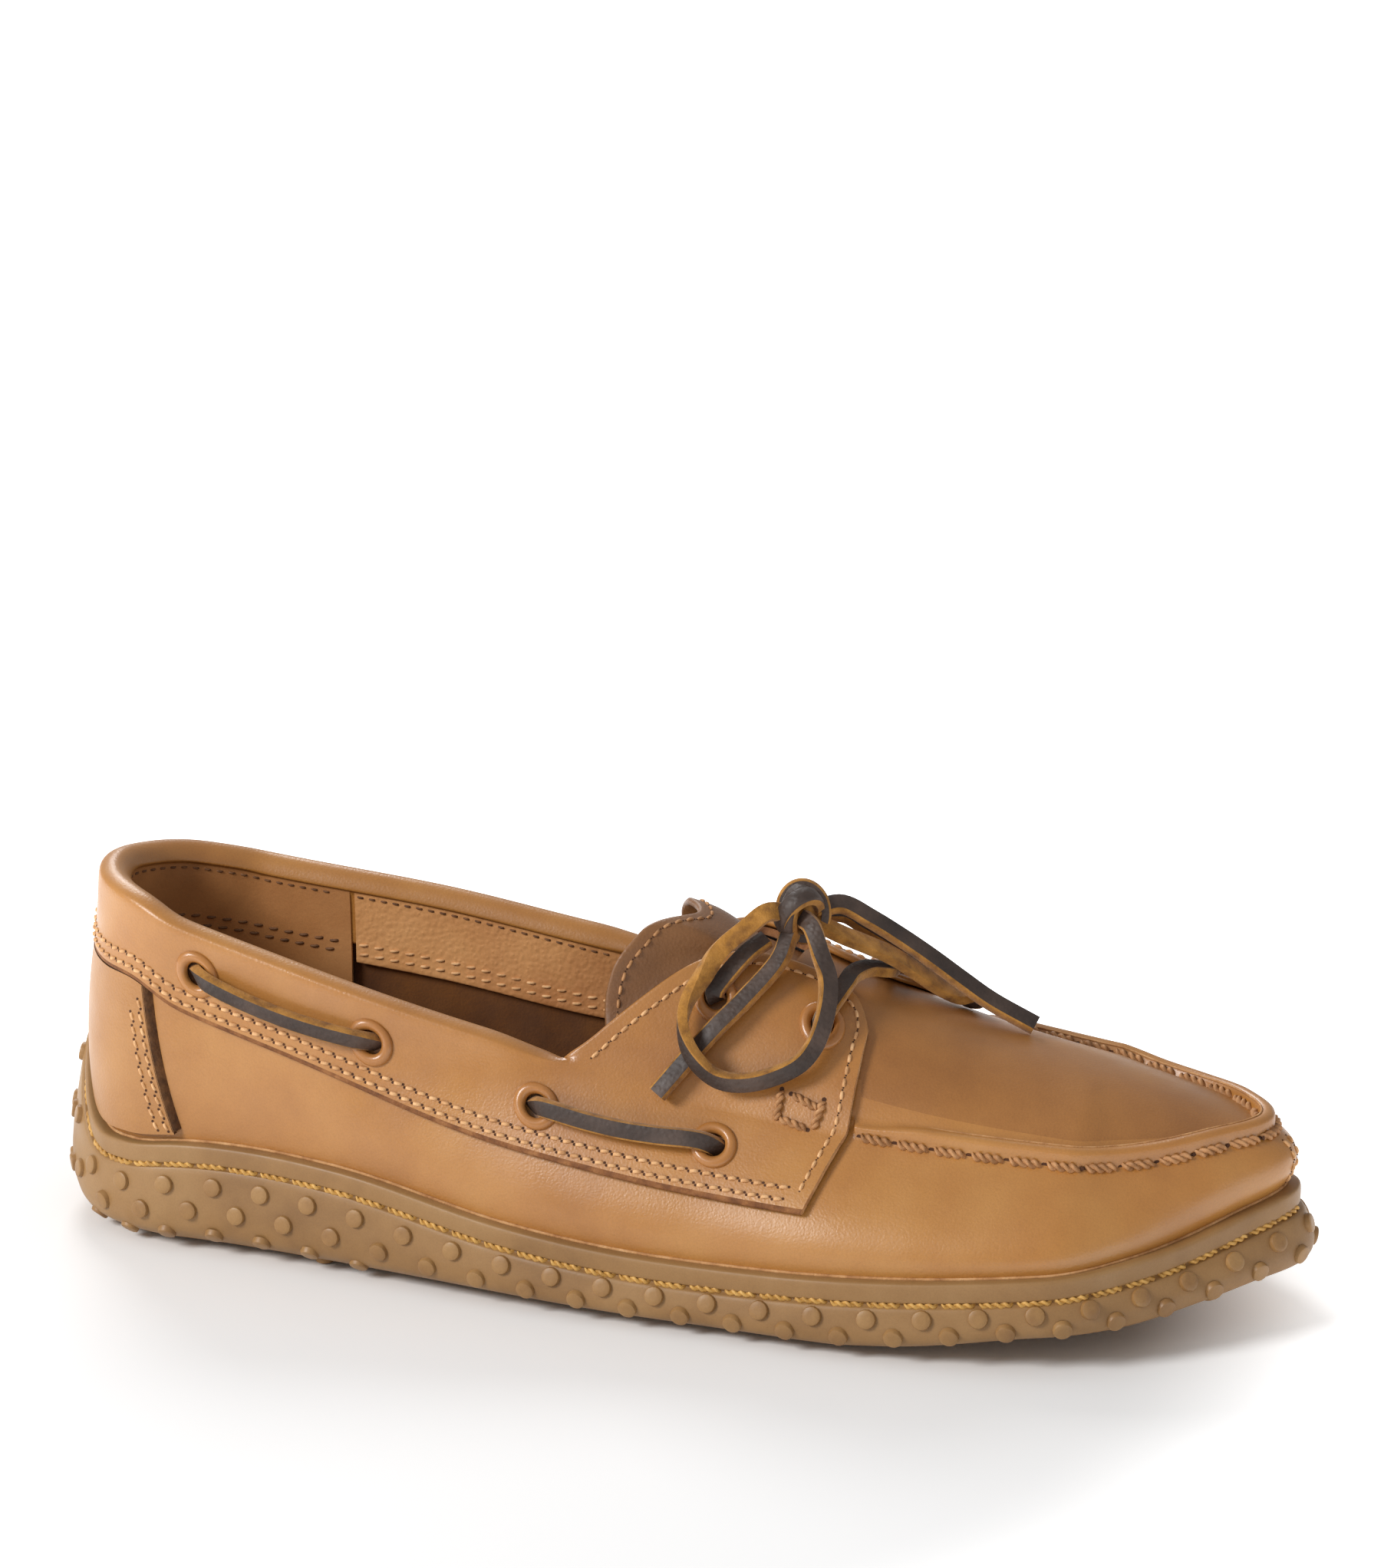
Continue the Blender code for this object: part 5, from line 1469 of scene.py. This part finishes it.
def area_light(name, spot, size, power):
    lamp = bpy.data.lights.new(name, "AREA")
    lamp.shape = "DISK"
    lamp.size = size
    lamp.energy = power
    made = bpy.data.objects.new(name, lamp)
    made.location = spot
    made.rotation_euler = (Vector(SHOE_MIDDLE) - Vector(spot)).to_track_quat("-Z", "Y").to_euler()
    bpy.context.scene.collection.objects.link(made)


SHOE_MIDDLE = (0, 0, 0.03)
KEY_LIGHT = ((-1.0, -1.05, 0.95), 0.6, 22)
BACK_LIGHT = ((-0.6, 0.9, 0.9), 0.5, 7)
WORLD_LIGHT = 0.46
FLOOR_HALF = 12
FLOOR_WHITE = 0.92
FLOOR_FADE = (0.13, 0.21)
FLOOR_MIDDLE = (-0.03, -0.05, 0)
FLOOR_GLOW = (0.0, 0.9)


def stage():
    """White floor that glows a little further out, so that only the shoe's own shadow shows."""
    mesh = bpy.data.meshes.new("floor")
    bm = bmesh.new()
    bmesh.ops.create_grid(bm, x_segments=2, y_segments=2, size=FLOOR_HALF)
    bm.to_mesh(mesh)
    bm.free()
    floor = bpy.data.objects.new("floor", mesh)
    floor.location = FLOOR_MIDDLE
    paint, tree, shader = nodes_of("floor_white")
    shader.inputs["Base Color"].default_value = (FLOOR_WHITE, FLOOR_WHITE, FLOOR_WHITE, 1)
    shader.inputs["Roughness"].default_value = 1
    shader.inputs["Specular IOR Level"].default_value = 0
    shader.inputs["Emission Color"].default_value = (1, 1, 1, 1)
    where = add(tree, "ShaderNodeTexCoord").outputs["Object"]
    away = add(tree, "ShaderNodeVectorMath", operation="LENGTH")
    tree.links.new(where, away.inputs[0])
    glow = add(tree, "ShaderNodeMapRange", interpolation_type="SMOOTHSTEP")
    for socket, value in zip(glow.inputs[1:5], (*FLOOR_FADE, *FLOOR_GLOW)):
        socket.default_value = value
    tree.links.new(away.outputs["Value"], glow.inputs["Value"])
    tree.links.new(glow.outputs["Result"], shader.inputs["Emission Strength"])
    mesh.materials.append(paint)
    bpy.context.scene.collection.objects.link(floor)
    world = bpy.data.worlds.new("world")
    world.use_nodes = True
    backdrop = world.node_tree.nodes["Background"]
    backdrop.inputs["Color"].default_value = (1, 1, 1, 1)
    backdrop.inputs["Strength"].default_value = WORLD_LIGHT
    bpy.context.scene.world = world
    area_light("key", *KEY_LIGHT)
    area_light("back", *BACK_LIGHT)


bpy.context.scene.view_settings.view_transform = "Standard"
camera()
stage()


def dress(pieces, slot, *nodes):
    """Rides pieces on the shoe and hides the CAD nodes."""
    pieces = pieces if isinstance(pieces, list) else [pieces]
    for piece in pieces:
        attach(piece, "root")
    if nodes:
        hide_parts(*nodes)
    return pieces


# The way that the grain looks at even places along each loop and end of the bow
BOW_GRAIN = {
    "lace_loop_near": ((0, -1, .3), (.6, -.8, 0), (.3, -1, 0), (0, -1, -.2), (-.5, -.9, 0), (-1, .1, 0),
                       (-.2, 1, -.4), (0, 1, -.5)),
    "lace_loop_far": ((-.3, .3, -.9), (-.4, .4, -.9), (-.3, .4, -.9), (.9, .3, -.2), (.4, -.5, .8),
                      (.4, -.5, .8), (.4, -.5, .8)),
    "lace_end_near": ((-.3, -.8, .4), (-.3, -.9, .2), (-.3, -.9, .2)),
    "lace_end_far": ((.3, -.7, .8), (.3, -.7, .8), (.3, -.7, .8)),
}
for lace_name, grain_ways in BOW_GRAIN.items():
    free_lace(lace_name, grain_ways, "object" if "loop" in lace_name else "bare")
dress(knot(), "rawhide", "lace_knot")
SOLE_PIECE = dress(sole(), "rubber", "outsole")[0]
dress(nubs(), "rubber")
SHELL_PIECE = dress(upper(), "leather", "upper")[0]
BAND_PIECE = dress(pierce(collar_band()), "leather", "collar_band")[0]
HEEL_PIECE = dress(counter(), "counter_leather", "heel_counter")[0]
for side in SIDE_WORDS:
    dress(counter_edge(side), "counter_leather")
TONGUE_PIECE = dress(tongue(), "tongue_leather", "tongue")[0]
dress(footbed(), "lining", "insole")
dress(glue_line(), "rubber")
for side, side_word in SIDE_WORDS.items():
    for i, eyelet_name in enumerate(EYELETS["name"]):
        place_name = f"{side_word}_{eyelet_name}"
        dress(eyelet(f"ring_{place_name}", *eyelet_spot(i, side)), "eyelet_paint", f"eyelet_{place_name}")
    for run in (1, 2):
        dress(side_bar(side, run), "rawhide", f"lace_side_{side_word}_{run}")
for run_name in LACE_CROSSINGS:
    dress(crossing_strap(run_name), "rawhide", run_name)

LIGHT_SEAM = dict(pitch=2.7, length=2.25, radius=0.44, slant=0.2, lift_off=0.18)
EDGE_SEAM = dict(pitch=2.6, length=2.15, radius=0.36, slant=0.05, lift_off=0.18, hole=0.18)
COUNTER_SEAM = dict(pitch=2.9, length=2.2, radius=0.36, slant=0.25, lift_off=0.1)
TONGUE_SEAM = dict(pitch=2.8, length=2.3, radius=0.36, hole=0.18, slant=0.05, lift_off=0.12)
MOC_SEAM = dict(pitch=7.5, length=7.2, radius=1.0, lift_off=0.45, plies=2, hole=0.5)
BARTACK_SEAM = dict(pitch=7.0, length=6.8, radius=0.85, lift_off=0.4, plies=2, hole=0.5)
GROOVE_SEAM = dict(pitch=7.4, length=7.6, radius=0.78, lift_off=0.42, plies=2, hole=0)
LINING_SEAM = dict(hole=0, pitch=3.4, length=2.6, radius=0.34, slant=0.2, lift_off=0.1)
ROLL_SEAM = dict(hole=0, pitch=2.6, length=1.8, radius=0.26, lift_off=0.1)
BAND_SEAM_LOW, BAND_SEAM_HIGH = 1.9, 4.3
WING_ROWS = [wing_row(side, 2.3, 0.05, 0.98) for side in SIDE_WORDS]
HEEL_ROWS = [counter_row(side, d) for side in SIDE_WORDS for d in (1.3, 3.6)]
SEAMS = (
    ("band_seam_low", [band_row(BAND_SEAM_LOW)], THREAD, BAND_PIECE, LIGHT_SEAM, "leather"),
    ("band_seam_high", [band_row(BAND_SEAM_HIGH)], THREAD, BAND_PIECE, LIGHT_SEAM, "leather"),
    ("wing_seam", WING_ROWS, THREAD, BAND_PIECE, EDGE_SEAM, "leather"),
    ("counter_seam", HEEL_ROWS, THREAD, HEEL_PIECE, COUNTER_SEAM, "leather"),
    ("tongue_seam", [tongue_row(2.2)], MOC_THREAD, TONGUE_PIECE, TONGUE_SEAM, "tongue_leather"),
    ("moc_seam", [moc_row(False)], MOC_THREAD, SHELL_PIECE, MOC_SEAM, "leather"),
    ("toe_seam", toe_rows(1.5), THREAD, SHELL_PIECE, EDGE_SEAM, "leather"),
    ("moc_seam_inner", [moc_row(True)], MOC_THREAD, SHELL_PIECE, MOC_SEAM, "leather"),
    ("bartack", bartack(), MOC_THREAD, BAND_PIECE, BARTACK_SEAM, "leather"),
    ("groove_thread", [groove_row()], GOLD, SOLE_PIECE, GROOVE_SEAM, "rubber"),
)


def sew(name, rows, paint, base, how, slot):
    dress(stitches(name, rows, paint, base, **how), slot)


for seam in SEAMS:
    sew(*seam)
dress(ridge_edge(), "leather")

HEEL_LINING_DEPTH = 40
SIDE_LINING_START = HEEL_LINING_END * 1.005
SIDE_LINING_END = 1.56
SIDE_ROLL_END = 1.42
LINING_ROWS = (LINING_DEPTH - 1.6, LINING_DEPTH - 3.6)
ROLL_ROW = ROLL_DEPTH + 0.2
LINED = [("heel", -HEEL_LINING_END, HEEL_LINING_END, HEEL_LINING_END, HEEL_LINING_DEPTH, HEEL_LINING,
          BROWN_THREAD, 0)]
for side, side_word in SIDE_WORDS.items():
    LINED.append((side_word, side * SIDE_LINING_START, side * SIDE_LINING_END, side * SIDE_ROLL_END,
                  LINING_DEPTH, LINING, THREAD, 0.05))
for part_name, start, end, roll_end, depth, leather, thread, nearer in LINED:
    sheet = lining(f"lining_{part_name}", start, end, depth, leather, LINING_OFF - nearer)
    sheet = dress(sheet, "lining")[0]
    rows = [lining_row(start, end, d, LINING_OFF) for d in LINING_ROWS]
    sew(f"lining_seam_{part_name}", rows, thread, sheet, LINING_SEAM, "lining")
    roll_row = lining_row(start, roll_end, ROLL_ROW, LINING_OFF)
    sew(f"roll_seam_{part_name}", [roll_row], BROWN_THREAD, sheet, ROLL_SEAM, "lining")
